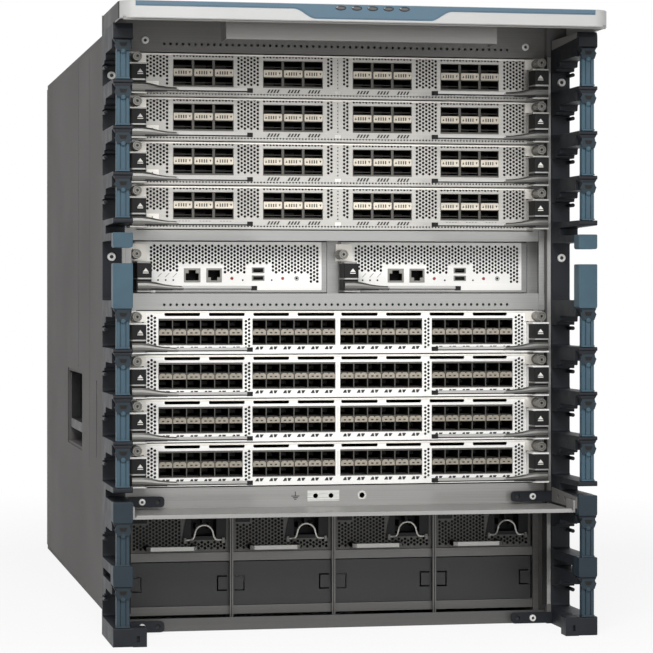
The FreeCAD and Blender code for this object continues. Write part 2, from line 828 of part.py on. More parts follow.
def gate_outline(low, high):
    """Side view of one gate: a bar between two arms with a hook over the upper one."""
    front = "-frame_reach"
    return [
        (front + " + gate_set", low),
        (front + " + gate_set + gate_depth", low),
        (front + " + gate_set + gate_depth", high),
        (front, high),
        (front, high + " + gate_hook"),
        (front + " - gate_hook_depth", high + " + gate_hook"),
        (front + " - gate_hook_depth", high + " - gate_hook/2"),
        (front + " + gate_set", high + " - gate_hook"),
    ]


def build_cable_gates():
    """Twenty cable gates, closed, one in each window of both cable frames."""
    left = "gate_inset - half_rack"
    right = "-frame_in - gate_inset"
    banks = new_body("bank_gates")
    outlines = [gate_outline(low, high) for low, high in bank_windows()]
    first = extrude(banks, "YZ", outlines, left, right)
    repeat(banks, first, ("Z_Axis", "slot_pitch", SLOTS))
    power = new_body("power_gates")
    extrude(power, "YZ", [gate_outline(low, high) for low, high in power_windows()], left, right)
    node("cable_gates", pair(banks) + pair(power))


def build_frame_screws():
    """Screws that hold the cable frames to the rack ears and the header to the cage."""
    plate = new_body("plate_screws")
    spots = [
        ("-half_rack + ear_screw_inset", "header_z - ear_screw_drop"),
        ("-half_rack + ear_screw_inset", "control_z + ear_screw_rise"),
        ("-frame_in + tab_screw_inset", "shelf_z + 2*sheet + tab_height/2"),
        ("-frame_in + tab_screw_inset", "tab_rise + tab_height/2"),
    ]
    discs = [disc(across, along, "frame_screw_radius") for across, along in spots]
    extrude(plate, "XZ", discs, "-plate_front - frame_screw_head", "-plate_front")
    header = new_body("header_screws")
    head = disc(
        "-inner + header_screw_inset", "header_z + header_screw_rise", "frame_screw_radius")
    extrude(header, "XZ", [head], "-frame_screw_head", "0")
    node("frame_screws", pair(plate) + pair(header))


# ---------------------------------------------------------------- modules

def build_tray(name, left, right, floor, wall_top, front, back):
    """Folded tray of a module."""
    body = new_body(name)
    fold = [
        (left, floor),
        (right, floor),
        (right, wall_top),
        (right + " - tray_sheet", wall_top),
        (right + " - tray_sheet", floor + " + tray_sheet"),
        (left + " + tray_sheet", floor + " + tray_sheet"),
        (left + " + tray_sheet", wall_top),
        (left, wall_top),
    ]
    extrude(body, "XZ", [fold], front, back)
    return body


def build_bracket(name, left, right, face):
    """C-shaped bracket on a faceplate that carries an ejector between its plates."""
    body = new_body(name)
    reach = "(%s - pivot_reach - head_radius/2)" % face
    low = "(head_low - rest_gap)"
    high = "(head_high + rest_gap)"
    outline = [
        (face, low + " - bracket_plate"),
        (face, high + " + bracket_plate"),
        (reach, high + " + bracket_plate"),
        (reach, high),
        (face + " - bracket_plate", high),
        (face + " - bracket_plate", low),
        (reach, low),
        (reach, low + " - bracket_plate"),
    ]
    extrude(body, "YZ", [outline], left, right)
    return body


def count_columns(kind):
    """How many columns of ports fit in each of the four groups of an I/O card."""
    room = value("(tray_half - {0}_end - {0}_near - {0}_gap)/2".format(kind))
    spare = room - value("{0}_port_width + 2*{0}_border".format(kind))
    return int(spare / SIZES[kind + "_port_pitch"]) + 1


def build_io_card(kind):
    """Pieces of one kind of I/O card, drawn in the lowest place with its slot at Z = 0."""
    width = kind + "_port_width"
    height = kind + "_port_height"
    border = kind + "_border"
    port_pitch = kind + "_port_pitch"
    columns = count_columns(kind)
    group_width = "(%d*%s + %s + 2*%s)" % (columns - 1, port_pitch, width, border)
    near = "(%s_near)" % kind
    lefts = [near, "(%s + %s + %s_gap)" % (near, group_width, kind)]
    top = "(board_level + %s_block)" % kind
    plate = new_body(kind + "_faceplate")
    fold = [
        ("0", "unit_gap"),
        ("face_flange", "unit_gap"),
        ("face_flange", "unit_gap + tray_sheet"),
        ("sheet", "unit_gap + tray_sheet"),
        ("sheet", "slot_pitch - unit_gap - tray_sheet"),
        ("face_flange", "slot_pitch - unit_gap - tray_sheet"),
        ("face_flange", "slot_pitch - unit_gap"),
        ("0", "slot_pitch - unit_gap"),
    ]
    extrude(plate, "YZ", [fold], "-tray_half", "tray_half")
    wings = [
        rectangle("face_margin - half_body", "-tray_half", "unit_gap", "slot_pitch - unit_gap"),
        rectangle("tray_half", "half_body - face_margin", "unit_gap", "slot_pitch - unit_gap"),
    ]
    extrude(plate, "XZ", wings, "0", "sheet")
    holes = []
    for left in lefts:
        holes.append(rectangle(left, left + " + " + group_width, "board_level", top))
        holes.append(rectangle("-%s - %s" % (left, group_width), "-" + left, "board_level", top))
    extrude(plate, "XZ", holes, "0", "sheet", cut=True)
    ports = new_body(kind + "_ports")
    blocks = [rectangle(left, left + " + " + group_width, "board_level", top) for left in lefts]
    extrude(ports, "XZ", blocks, "-block_lip", "block_depth")
    firsts = []
    for left in lefts:
        corner = "%s + %s" % (left, border)
        low = "board_level + %s_rise" % kind
        firsts.append(rectangle(corner, corner + " + " + width, low, low + " + " + height))
    port = extrude(ports, "XZ", firsts, "-block_lip", "port_depth", cut=True)
    repeat(ports, port, ("X_Axis", port_pitch, columns), ("Z_Axis", kind + "_row_pitch", 2))
    tray = build_tray(
        kind + "_tray", "-tray_half", "tray_half", "tray_z", "slot_pitch - tray_drop",
        "sheet", "tray_back")
    board = box(
        kind + "_board", "tray_sheet - tray_half", "tray_half - tray_sheet",
        "sheet", "tray_back", "board_level - board_thickness", "board_level")
    plugs = new_body(kind + "_plugs")
    plug = rectangle(
        "plug_inset - tray_half", "plug_inset + plug_width - tray_half",
        "board_level", "board_level + plug_height")
    extrude(plugs, "XZ", [plug], "tray_back - plug_depth", "tray_back + plug_reach")
    sink = box(
        kind + "_heat_sink", "-sink_width/2", "sink_width/2",
        "sink_start", "sink_start + sink_depth", "board_level", "board_level + sink_height")
    brackets = build_bracket(
        kind + "_brackets", "pivot_inset - bracket_width/2 - half_body",
        "pivot_inset + bracket_width/2 - half_body", "0")
    screws = new_body(kind + "_screws")
    head = disc("screw_inset - half_body", "screw_level", "screw_radius")
    extrude(screws, "XZ", [head], "-screw_length", "0")
    return [plate, tray, board, sink] + pair(ports) + pair(plugs) + pair(brackets) + pair(screws)


def slot_level(number):
    """Bottom of an I/O slot; slots 1 to 4 are above the supervisors, 5 to 8 below."""
    if number <= SLOTS:
        return "high_slots_z + %d*slot_pitch" % (SLOTS - number)
    return "low_slots_z + %d*slot_pitch" % (2 * SLOTS - number)


def build_ejector():
    """Ejector lever, drawn with its pivot at the origin and its tip toward +X."""
    body = new_body("ejector")
    radius = "head_radius"
    head = [
        ("-0.6*" + radius, "-0.78*" + radius),
        ("0.6*" + radius, "-0.78*" + radius),
        ("0.76*" + radius, "0.6*" + radius),
        ("0.4*" + radius, "0.88*" + radius),
        ("-0.4*" + radius, "0.88*" + radius),
        ("-0.76*" + radius, "0.6*" + radius),
    ]
    extrude(body, "XY", [head], "head_low", "head_high")
    neck = [
        ("0.6*" + radius, "-0.78*" + radius),
        ("lever_length*0.25", "-0.78*" + radius),
        ("lever_length*0.25", "lever_depth - 0.78*" + radius),
        ("0.7*" + radius, "0.1*" + radius),
    ]
    extrude(body, "XY", [neck], "head_low", "head_low + lever_height*1.6")
    bar = rectangle("0.6*" + radius, "lever_length", "-0.78*" + radius, "lever_depth - 0.78*" + radius)
    extrude(body, "XY", [bar], "head_low", "head_low + lever_height")
    return body


def build_io_cards():
    """Eight I/O cards, four of each kind, and their sixteen ejectors."""
    left = build_ejector()
    right = mirrored(left)
    kinds = {WIDE: build_io_card(WIDE), SMALL: build_io_card(SMALL)}
    for number in range(1, 2 * SLOTS + 1):
        level = slot_level(number)
        node("io_card_%d" % number, kinds[WIDE if number <= SLOTS else SMALL], up=level)
        for side, lever, across in (("left", left, "pivot_inset - half_body"),
                                    ("right", right, "half_body - pivot_inset")):
            node("io_ejector_%d_%s" % (number, side), [lever],
                 across=across, along="-pivot_reach", up=level)
    return left


def build_supervisors(lever):
    """Two supervisors with jacks and USB ports, and the ejector of each."""
    left = "(slide_gap - cage_half)"
    right = "(slide_gap - cage_half + control_width)"
    low = "control_floor"
    high = "(control_floor + control_face_height)"
    face = "(control_recess)"
    plate = new_body("control_faceplate")
    fold = [
        (face, low),
        (face + " + face_flange", low),
        (face + " + face_flange", low + " + tray_sheet"),
        (face + " + sheet", low + " + tray_sheet"),
        (face + " + sheet", high + " - tray_sheet"),
        (face + " + face_flange", high + " - tray_sheet"),
        (face + " + face_flange", high),
        (face, high),
    ]
    extrude(plate, "YZ", [fold], left, right)
    blocks = []
    hollows = []
    for start, width, rise, height in JACKS + USB_PORTS:
        x0 = "%s + %g" % (left, start)
        x1 = "%s + %g" % (left, start + width)
        blocks.append(rectangle(x0, x1, "%g" % rise, "%g" % (rise + height)))
        hollows.append(rectangle(
            x0 + " + socket_wall", x1 + " - socket_wall",
            "%g + socket_lip" % rise, "%g - socket_lip" % (rise + height)))
    extrude(plate, "XZ", blocks, face, face + " + sheet", cut=True)
    sockets = new_body("control_sockets")
    extrude(sockets, "XZ", blocks, face + " - block_lip", face + " + socket_depth")
    extrude(sockets, "XZ", hollows,
            face + " - block_lip", face + " + socket_depth - socket_back", cut=True)
    tray = build_tray(
        "control_tray", left, right, "(control_floor + tray_sheet)", high + " - tray_drop",
        face + " + sheet", "tray_back")
    board = box(
        "control_board", left + " + tray_sheet", right + " - tray_sheet", face + " + sheet",
        "tray_back", "control_board_level - board_thickness", "control_board_level")
    edge = left + " + control_bracket_inset"
    bracket = build_bracket("control_bracket", edge, edge + " + control_bracket", face)
    screws = new_body("control_screw")
    head = disc(
        left + " + control_screw_inset", "screw_level + control_screw_lift", "screw_radius")
    extrude(screws, "XZ", [head], face + " - screw_length", face)
    pieces = [plate, sockets, tray, board, bracket, screws]
    for number in (1, 2):
        shift = "%d*control_pitch" % (number - 1)
        node("supervisor_%d" % number, pieces, across=shift, up="control_z")
        node("supervisor_ejector_%d" % number, [lever],
             across="slide_gap - cage_half + control_pivot + " + shift,
             along="control_recess - pivot_reach", up="control_z")


def build_power_unit():
    """Pieces of a power unit, drawn about X = 0 with its bottom at Z = 0."""
    face = "(control_recess)"
    case = new_body("unit_case")
    shape = rectangle("-unit_width/2", "unit_width/2", "0", "unit_height - unit_gap")
    extrude(case, "XZ", [shape], face, face + " + unit_depth")
    recess = rectangle("inlet_left", "inlet_left + inlet_width", "inlet_low", "inlet_high")
    extrude(case, "XZ", [recess], face, face + " + inlet_depth", cut=True)
    socket = new_body("inlet_socket")
    middle = "(inlet_left + inlet_width/2)"
    left = "(%s - mouth_width/2)" % middle
    right = "(%s + mouth_width/2)" % middle
    low = "(inlet_low + mouth_rise)"
    high = "(inlet_high - mouth_top)"
    mouth = [
        (left, low),
        (right, low),
        (right, high + " - mouth_lip"),
        (right + " - mouth_lip", high),
        (left + " + mouth_lip", high),
        (left, high + " - mouth_lip"),
    ]
    extrude(socket, "XZ", [mouth], face + " + mouth_set", face + " + inlet_depth")
    hollow = rectangle(
        left + " + mouth_wall", right + " - mouth_wall",
        low + " + mouth_wall", high + " - mouth_lip")
    extrude(socket, "XZ", [hollow],
            face + " + mouth_set", face + " + inlet_depth - mouth_wall", cut=True)
    lugs = new_body("clip_lugs")
    level = "(inlet_low - clip_drop)"
    ears = [
        rectangle(middle + " - clip_span/2 - clip_lug", middle + " - clip_span/2 - rest_gap",
                  level + " - clip_lug", level + " + clip_lug"),
        rectangle(middle + " + clip_span/2 + rest_gap", middle + " + clip_span/2 + clip_lug",
                  level + " - clip_lug", level + " + clip_lug"),
    ]
    extrude(lugs, "XZ", ears, face + " - clip_lug_reach", face)
    grip = new_body("unit_grip")
    tip = "(control_recess - grip_reach)"
    end = "(grip_width - grip_left)"
    handle = [
        ("-grip_left", face),
        ("-grip_left", tip + " + grip_bar"),
        ("grip_bar - grip_left", tip),
        (end + " - grip_bar", tip),
        (end, tip + " + grip_bar"),
        (end, face),
        (end + " - grip_bar", face),
        (end + " - grip_bar", tip + " + grip_bar"),
        ("grip_bar - grip_left", tip + " + grip_bar"),
        ("grip_bar - grip_left", face),
    ]
    extrude(grip, "XY", [handle], "grip_rise", "grip_rise + grip_bar")
    return [case, socket, lugs, grip]


def build_cord_clip():
    """Omega-shaped cord clip, drawn with its hinge axis along X through the origin."""
    body = new_body("cord_clip")
    outer = []
    inner = []
    for k in range(9):
        turn = math.pi * k / 8
        outer.append(("%.5f*clip_arch" % -math.cos(turn),
                      "clip_rise + %.5f*clip_arch" % math.sin(turn)))
        inner.append(("%.5f*(clip_arch - clip_wire)" % -math.cos(turn),
                      "clip_rise + %.5f*(clip_arch - clip_wire)" % math.sin(turn)))
    outline = [("-clip_span/2", "-clip_wire/2"), ("-clip_span/2", "clip_wire/2")]
    outline += [("-clip_arch", "clip_wire/2")] + outer[1:-1] + [("clip_arch", "clip_wire/2")]
    outline += [("clip_span/2", "clip_wire/2"), ("clip_span/2", "-clip_wire/2")]
    outline += [("clip_arch - clip_wire", "-clip_wire/2")] + inner[-2:0:-1]
    outline += [("clip_wire - clip_arch", "-clip_wire/2")]
    extrude(body, "XZ", [outline], "-clip_wire/2", "clip_wire/2")
    return body


def build_power_units():
    """Four power units with their cord clips above four blanks."""
    unit = build_power_unit()
    clip = build_cord_clip()
    blank = build_power_blank()
    for number in range(1, UNITS + 1):
        shift = "(%g)*unit_pitch" % (number - (UNITS + 1) / 2)
        node("power_supply_%d" % number, unit, across=shift, up="high_unit_z")
        node("cord_clip_%d" % number, [clip], across=shift + " + inlet_left + inlet_width/2",
             along="control_recess - clip_set", up="high_unit_z + inlet_low - clip_drop")
        node("power_blank_%d" % (number + UNITS), [blank], across=shift, up="low_unit_z")


def build_power_blank():
    """Folded cover of an empty power bay, with a finger latch slit free in each end."""
    body = new_body("power_blank")
    face = "(control_recess)"
    shape = rectangle("-unit_width/2", "unit_width/2", "0", "unit_height - unit_gap")
    extrude(body, "XZ", [shape], face, face + " + blank_depth")
    hollow = rectangle(
        "sheet - unit_width/2", "unit_width/2 - sheet", "sheet", "unit_height - unit_gap - sheet")
    extrude(body, "XZ", [hollow], face + " + sheet", face + " + blank_depth", cut=True)
    low = "(unit_height/2 - latch_height/2)"
    high = "(unit_height/2 + latch_height/2)"
    edge = "(unit_width/2 - sheet)"
    slit = [
        (edge, low),
        (edge + " - latch_width", low),
        (edge + " - latch_width", high),
        (edge, high),
        (edge, high + " - latch_slit"),
        (edge + " - latch_width + latch_slit", high + " - latch_slit"),
        (edge + " - latch_width + latch_slit", low + " + latch_slit"),
        (edge, low + " + latch_slit"),
    ]
    extrude(body, "XZ", [slit], face, face + " + sheet", cut=True)
    mirror_slit = [("-1*(%s)" % across, along) for across, along in slit]
    extrude(body, "XZ", [mirror_slit], face, face + " + sheet", cut=True)
    return body


def build_fan_trays():
    """Fan trays across the back, each with three fan windows and two grips."""
    body = new_body("fan_case")
    gap = "slide_gap/2"
    low = "(shelf_z + sheet + rest_gap)"
    high = "(top_z - 2*sheet - rest_gap)"
    shape = rectangle("%s - fan_pitch/2" % gap, "fan_pitch/2 - %s" % gap, low, high)
    extrude(body, "XZ", [shape], "fan_front", "body_depth - fan_grip")
    step = "((%s - %s)/%d)" % (high, low, FANS)
    middle = "(%s + %s/2)" % (low, step)
    opening = rectangle(
        "-fan_window/2", "fan_window/2", middle + " - fan_window/2", middle + " + fan_window/2")
    back = "(body_depth - fan_grip)"
    recess = extrude(body, "XZ", [opening], back + " - fan_recess", back, cut=True)
    repeat(body, recess, ("Z_Axis", step, FANS))
    inset = "(fan_grip_margin + fan_grip_height)"
    grips = [
        rectangle("-fan_grip_half", "fan_grip_half",
                  low + " + fan_grip_margin", "%s + %s" % (low, inset)),
        rectangle("-fan_grip_half", "fan_grip_half",
                  "%s - %s" % (high, inset), high + " - fan_grip_margin"),
    ]
    extrude(body, "XZ", grips, back, "body_depth")
    for number in range(1, FAN_TRAYS + 1):
        node("fan_tray_%d" % number, [body], across="(%d)*fan_pitch" % (number - 2))


# ---------------------------------------------------------------- build, check and write

def build():
    """Build every sub-part."""
    build_side_panels()
    build_handles()
    build_top_panel()
    build_base_pan()
    build_card_cage()
    build_midplane()
    build_supervisor_frame()
    build_lower_panel()
    build_power_bay()
    build_hood()
    build_hood_trim()
    build_cable_frames()
    build_cable_gates()
    build_frame_screws()
    lever = build_io_cards()
    build_supervisors(lever)
    build_power_units()
    build_fan_trays()


def check():
    """Stop if any object failed or any sub-part has no valid shape."""
    failed = [item.Name for item in doc.Objects if "Invalid" in item.State or "Error" in item.State]
    failed += [part.Label for part in nodes if part.Shape.isNull() or not part.Shape.isValid()]
    if failed:
        raise RuntimeError("failed: " + ", ".join(failed))


fill_sheet()
build()
doc.recompute()
check()
os.makedirs("parts", exist_ok=True)
for part in nodes:
    part.Shape.exportStep("parts/%s.step" % part.Label)
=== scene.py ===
"""Finishes, fine pieces, floor, light and camera for the modular chassis switch."""

import math

import bpy
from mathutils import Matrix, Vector


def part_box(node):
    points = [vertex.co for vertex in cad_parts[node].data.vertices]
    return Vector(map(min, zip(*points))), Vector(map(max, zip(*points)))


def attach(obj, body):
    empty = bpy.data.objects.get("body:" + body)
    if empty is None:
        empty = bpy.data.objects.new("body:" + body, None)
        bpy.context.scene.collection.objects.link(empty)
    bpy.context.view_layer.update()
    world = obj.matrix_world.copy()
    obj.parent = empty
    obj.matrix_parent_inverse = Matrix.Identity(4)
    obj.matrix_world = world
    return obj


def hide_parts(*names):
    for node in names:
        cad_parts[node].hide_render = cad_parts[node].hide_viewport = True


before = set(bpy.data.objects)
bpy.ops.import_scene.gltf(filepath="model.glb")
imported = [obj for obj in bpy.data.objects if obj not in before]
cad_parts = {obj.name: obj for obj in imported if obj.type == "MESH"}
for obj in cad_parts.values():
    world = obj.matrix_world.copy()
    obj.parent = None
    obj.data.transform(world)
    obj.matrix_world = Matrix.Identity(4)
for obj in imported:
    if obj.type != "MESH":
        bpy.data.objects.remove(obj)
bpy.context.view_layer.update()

EAR_FRONT = 9.0                   # the top sheet starts this far ahead of the card faces
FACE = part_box("top_panel")[0].y * 1000 + EAR_FRONT
PITCH = (3.30, 3.81)              # columns of the perforation, and holes in a column
HOLE = 1.50                       # half a perforation hole, corner to middle


# ---------------------------------------------------------------- places

def low(node):
    """Lowest corner of a CAD node in millimetres, from the middle, the card faces and the floor."""
    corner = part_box(node)[0] * 1000
    return corner.x, corner.y - FACE, corner.z


def high(node):
    """Highest corner of a CAD node, like low()."""
    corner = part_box(node)[1] * 1000
    return corner.x, corner.y - FACE, corner.z


def spot(x, y, z):
    """A place in millimetres as a point of the frame."""
    return Vector((x, y + FACE, z)) / 1000


CARD_HALF = high("io_card_1")[0]
BODY_HALF = CARD_HALF + 5.2
SLOTS = {n: low("io_card_%d" % n)[2] - 0.5 for n in range(1, 9)}
SLOT_PITCH = SLOTS[1] - SLOTS[2]
CONTROL = low("supervisor_1")[2] - 1.0
CONTROL_FACE = low("supervisor_frame")[1] + 27.0
UNIT_LOW = low("power_supply_1")[2]
UNIT_PITCH = low("power_supply_2")[0] - low("power_supply_1")[0]
BLANK_LOW = low("power_blank_5")[2]
TOP = high("top_panel")[2]
RACK_HALF = -low("left_side_panel")[0]
SHELF = low("lower_panel")[2]
FRAME_IN = BODY_HALF + 2.0


# ---------------------------------------------------------------- surfaces

def linear(red, green, blue):
    """A colour written in screen values from 0 to 255, as light."""
    return tuple(
        (c / 255 / 12.92) if c <= 10 else ((c / 255 + 0.055) / 1.055) ** 2.4
        for c in (red, green, blue))


def add_node(tree, kind, operation=None, **values):
    """A shader node with values for its inputs, in whose names _ stands for a space."""
    item = tree.nodes.new("ShaderNode" + kind)
    if operation:
        item.operation = operation
    for name, value in values.items():
        item.inputs[name.replace("_", " ")].default_value = value
    return item


def surface(name, colour, roughness, metallic, spread, stretch=40, grain=0.0, gloss=0.5, coat=0.0):
    """Material whose colour and roughness drift with noise, and whose fine grain is relief."""
    material = bpy.data.materials.new(name)
    material.use_nodes = True
    tree = material.node_tree
    link = tree.links.new
    shader = tree.nodes["Principled BSDF"]
    shader.inputs["Metallic"].default_value = metallic
    shader.inputs["Coat Weight"].default_value = coat
    shader.inputs["Specular IOR Level"].default_value = gloss
    if isinstance(stretch, int):
        stretch = (stretch,) * 3
    place = add_node(tree, "TexCoord")
    scaled = add_node(tree, "Mapping", Scale=stretch)
    link(place.outputs["Object"], scaled.inputs["Vector"])
    cloud = add_node(tree, "TexNoise", Scale=1.0, Detail=5.0)
    link(scaled.outputs["Vector"], cloud.inputs["Vector"])
    ramp = add_node(tree, "ValToRGB")
    base = linear(*colour)
    for stop, position, share in ((0, 0.32, 1 - spread), (1, 0.68, 1 + spread)):
        ramp.color_ramp.elements[stop].position = position
        ramp.color_ramp.elements[stop].color = [min(1, c * share) for c in base] + [1]
    link(cloud.outputs["Fac"], ramp.inputs["Fac"])
    link(ramp.outputs["Color"], shader.inputs["Base Color"])
    rough = add_node(tree, "MapRange", From_Min=0.3, From_Max=0.7,
                     To_Min=max(0.05, roughness - 0.06), To_Max=min(1.0, roughness + 0.06))
    link(cloud.outputs["Fac"], rough.inputs["Value"])
    link(rough.outputs["Result"], shader.inputs["Roughness"])
    if grain:
        fine = add_node(tree, "TexNoise", Scale=1800.0, Detail=2.0)
        link(place.outputs["Object"], fine.inputs["Vector"])
        bump = add_node(tree, "Bump", Strength=grain, Distance=0.0002)
        link(fine.outputs["Fac"], bump.inputs["Height"])
        link(bump.outputs["Normal"], shader.inputs["Normal"])
    return material


ALONG_X = (4, 900, 900)
ALONG_Y = (900, 4, 900)

# Colour, roughness, metal, spread of the colour, scale of the noise, grain, gloss and coat.
LOOKS = {
    "card_silver": ((178, 176, 171), 0.38, 0.35, 0.06, ALONG_X),
    "card_white": ((243, 242, 239), 0.42, 0.05, 0.03, ALONG_X),
    # cage_painted_shade: the port frames' metal, made darker as painted shade of their sunk fronts
    "cage_painted_shade": ((80, 78, 73), 0.42, 0.3, 0.1, ALONG_X),
    "port_dark": ((26, 25, 24), 0.6, 0.1, 0.3, 40, 0, 0.2),
    "port_floor": ((52, 50, 47), 0.5, 0.3, 0.3),
    "strip_cream": ((222, 213, 196), 0.5, 0, 0.06, 300),
    "strip_tan": ((158, 150, 136), 0.5, 0.1, 0.12, 300),
    "mark_pale": ((232, 230, 224), 0.6, 0, 0.05),
    "mark_dark": ((60, 60, 60), 0.6, 0, 0.2, 40, 0, 0.2),
    "mark_red": ((150, 52, 44), 0.5, 0, 0.1),
    "board_green": ((38, 84, 56), 0.5, 0, 0.25, 160, 0.2),
    "zinc_sheet": ((160, 162, 164), 0.36, 0.7, 0.1, ALONG_Y),
    "heat_sink": ((120, 121, 124), 0.4, 0.8, 0.1, ALONG_Y),
    "plug_black": ((34, 34, 36), 0.5, 0, 0.15, 40, 0, 0.2),
    "screw_steel": ((128, 126, 120), 0.36, 0.4, 0.05, 60),
    "head_pale": ((228, 228, 224), 0.36, 0.1, 0.04, 60),
    "bracket_bright": ((232, 228, 220), 0.36, 0.2, 0.04, 30),
    "lever_black": ((22, 22, 22), 0.46, 0, 0.15, 80, 0.25, 0.2),
    "lever_root": ((120, 119, 116), 0.3, 0.9, 0.06, ALONG_X),
    "lever_bar": ((164, 163, 160), 0.32, 0.5, 0.06, ALONG_X),
    "rail_silver": ((150, 150, 148), 0.38, 0.3, 0.06, ALONG_X),
    "header_grey": ((112, 111, 109), 0.42, 0.2, 0.08, ALONG_X, 0, 0.2),
    "side_steel": ((100, 98, 97), 0.6, 0, 0.05, 6, 0.35, 0.05),
    "seam_dark": ((48, 46, 45), 0.6, 0, 0.1, 40, 0, 0.2),
    "shelf_grey": ((148, 147, 145), 0.4, 0.35, 0.08, ALONG_X),
    "base_grey": ((80, 79, 78), 0.42, 0.2, 0.08, ALONG_X),
    "plate_grey": ((120, 118, 115), 0.42, 0.25, 0.05, ALONG_X),
    "bay_grey": ((110, 109, 107), 0.46, 0.3, 0.08, ALONG_X),
    "unit_dark": ((88, 87, 84), 0.48, 0.3, 0.08, 60, 0.2, 0.2),
    "blank_grey": ((72, 72, 73), 0.5, 0.2, 0.06, 30, 0.35, 0.2),
    "wire_steel": ((206, 203, 196), 0.3, 0.6, 0.06, 300),
    "hood_silver": ((172, 172, 171), 0.36, 0.1, 0.03, 20, 0.15),
    "trim_blue": ((66, 92, 108), 0.38, 0.1, 0.06, 20, 0.15),
    "trim_line": ((62, 90, 108), 0.38, 0.1, 0.06, 20, 0.15),
    "lens_black": ((24, 26, 30), 0.14, 0, 0.1, 200, 0, 0.5, 0.5),
    "frame_black": ((28, 31, 36), 0.5, 0, 0.12, 50, 0.35, 0.2),
    "gate_teal": ((62, 84, 96), 0.46, 0, 0.08, 50, 0.3, 0.2),
    # gate_teal_painted_shade: the gate teal made darker as painted shade low on the frames
    "gate_teal_painted_shade": ((46, 60, 69), 0.46, 0, 0.08, 50, 0.3, 0.2),
    # gate_dark: the hooks' own colour; on the lower caps it is painted shade
    "gate_dark": ((36, 47, 54), 0.46, 0, 0.08, 50, 0.3, 0.2),
    # hood_painted_shade: a darker copy of hood_silver, painted shade on the hood's sides
    "hood_painted_shade": ((35, 34, 33), 0.46, 0.1, 0.05, 20, 0.15, 0.2),
    "handle_black": ((40, 40, 41), 0.45, 0.1, 0.15, 60, 0.3, 0.2),
    "fan_steel": ((150, 152, 154), 0.38, 0.6, 0.08, ALONG_X),
    "pad_bright": ((196, 196, 192), 0.3, 0.7, 0.06, ALONG_X),
}
FINISHES = {name: surface(name, *look) for name, look in LOOKS.items()}


# ---------------------------------------------------------------- shapes

def oblong(x0, x1, z0, z1):
    """Corners of an upright rectangle."""
    return [(x0, z0), (x1, z0), (x1, z1), (x0, z1)]


def ring(x, z, radius, sides):
    """Corners of a regular polygon, the radius from corner to middle."""
    angles = [2 * math.pi * k / sides for k in range(sides)]
    return [(x + radius * math.cos(angle), z + radius * math.sin(angle)) for angle in angles]


def soften(corners, steps=4):
    """Outline whose corners, given with a radius each, are rounded."""
    outline = []
    count = len(corners)
    for k, (u, v, radius) in enumerate(corners):
        here = Vector((u, v))
        back = Vector(corners[k - 1][:2]) - here
        ahead = Vector(corners[(k + 1) % count][:2]) - here
        half = back.angle(ahead) / 2
        if radius <= 0 or half > 1.5:
            outline.append((u, v))
            continue
        reach = min(radius / math.tan(half), back.length * 0.49, ahead.length * 0.49)
        start = here + back.normalized() * reach
        end = here + ahead.normalized() * reach
        for step in range(steps + 1):
            share = step / steps
            point = start * (1 - share) ** 2 + here * 2 * share * (1 - share) + end * share ** 2
            outline.append((point.x, point.y))
    return outline


def perforation(x0, x1, z0, z1, keep=None, pitch=PITCH, radius=HOLE):
    """Holes of a perforated field, in staggered columns, centred in the field."""
    across, along = pitch
    columns = int((x1 - x0 - 2 * radius) / across) + 1
    rows = int((z1 - z0 - 2 * radius - along / 2) / along) + 1
    start = (x0 + x1 - (columns - 1) * across) / 2
    base = (z0 + z1 - (rows - 1) * along - along / 2) / 2
    holes = []
    for column in range(columns):
        x = start + column * across
        for row in range(rows):
            z = base + row * along + (column % 2) * along / 2
            if keep is None or keep(x, z):
                holes.append(ring(x, z, radius, 6))
    return holes


def rounded_oblong(x0, x1, z0, z1, radius, steps=4):
    """Upright rectangle with rounded corners."""
    return soften([(x, z, radius) for x, z in oblong(x0, x1, z0, z1)], steps)


def area(outline):
    """Area of an outline, positive if it runs anticlockwise."""
    total = 0.0
    for k, (u, v) in enumerate(outline):
        total += outline[k - 1][0] * v - u * outline[k - 1][1]
    return total / 2


def turn(axis, u, v, w):
    """Point at u, v across an axis and w along it."""
    return {"X": (w, u, v), "Y": (u, w, v), "Z": (u, v, w)}[axis]


def two_ends(outline, start, end, axis="Y"):
    """Points of an outline at both ends of a straight piece, in the order its faces need."""
    if (area(outline) > 0) != (axis != "Y"):
        outline = outline[::-1]
    return [turn(axis, u, v, w) for w in (start, end) for u, v in outline]


def ring_faces(count, sides):
    """Faces of a closed piece whose points lie in rings, one after the other."""
    faces = [list(range(sides))[::-1]]
    for base in range(0, (count - 1) * sides, sides):
        faces += [[base + k, base + (k + 1) % sides, base + sides + (k + 1) % sides,
                   base + sides + k] for k in range(sides)]
    return faces + [[(count - 1) * sides + k for k in range(sides)]]


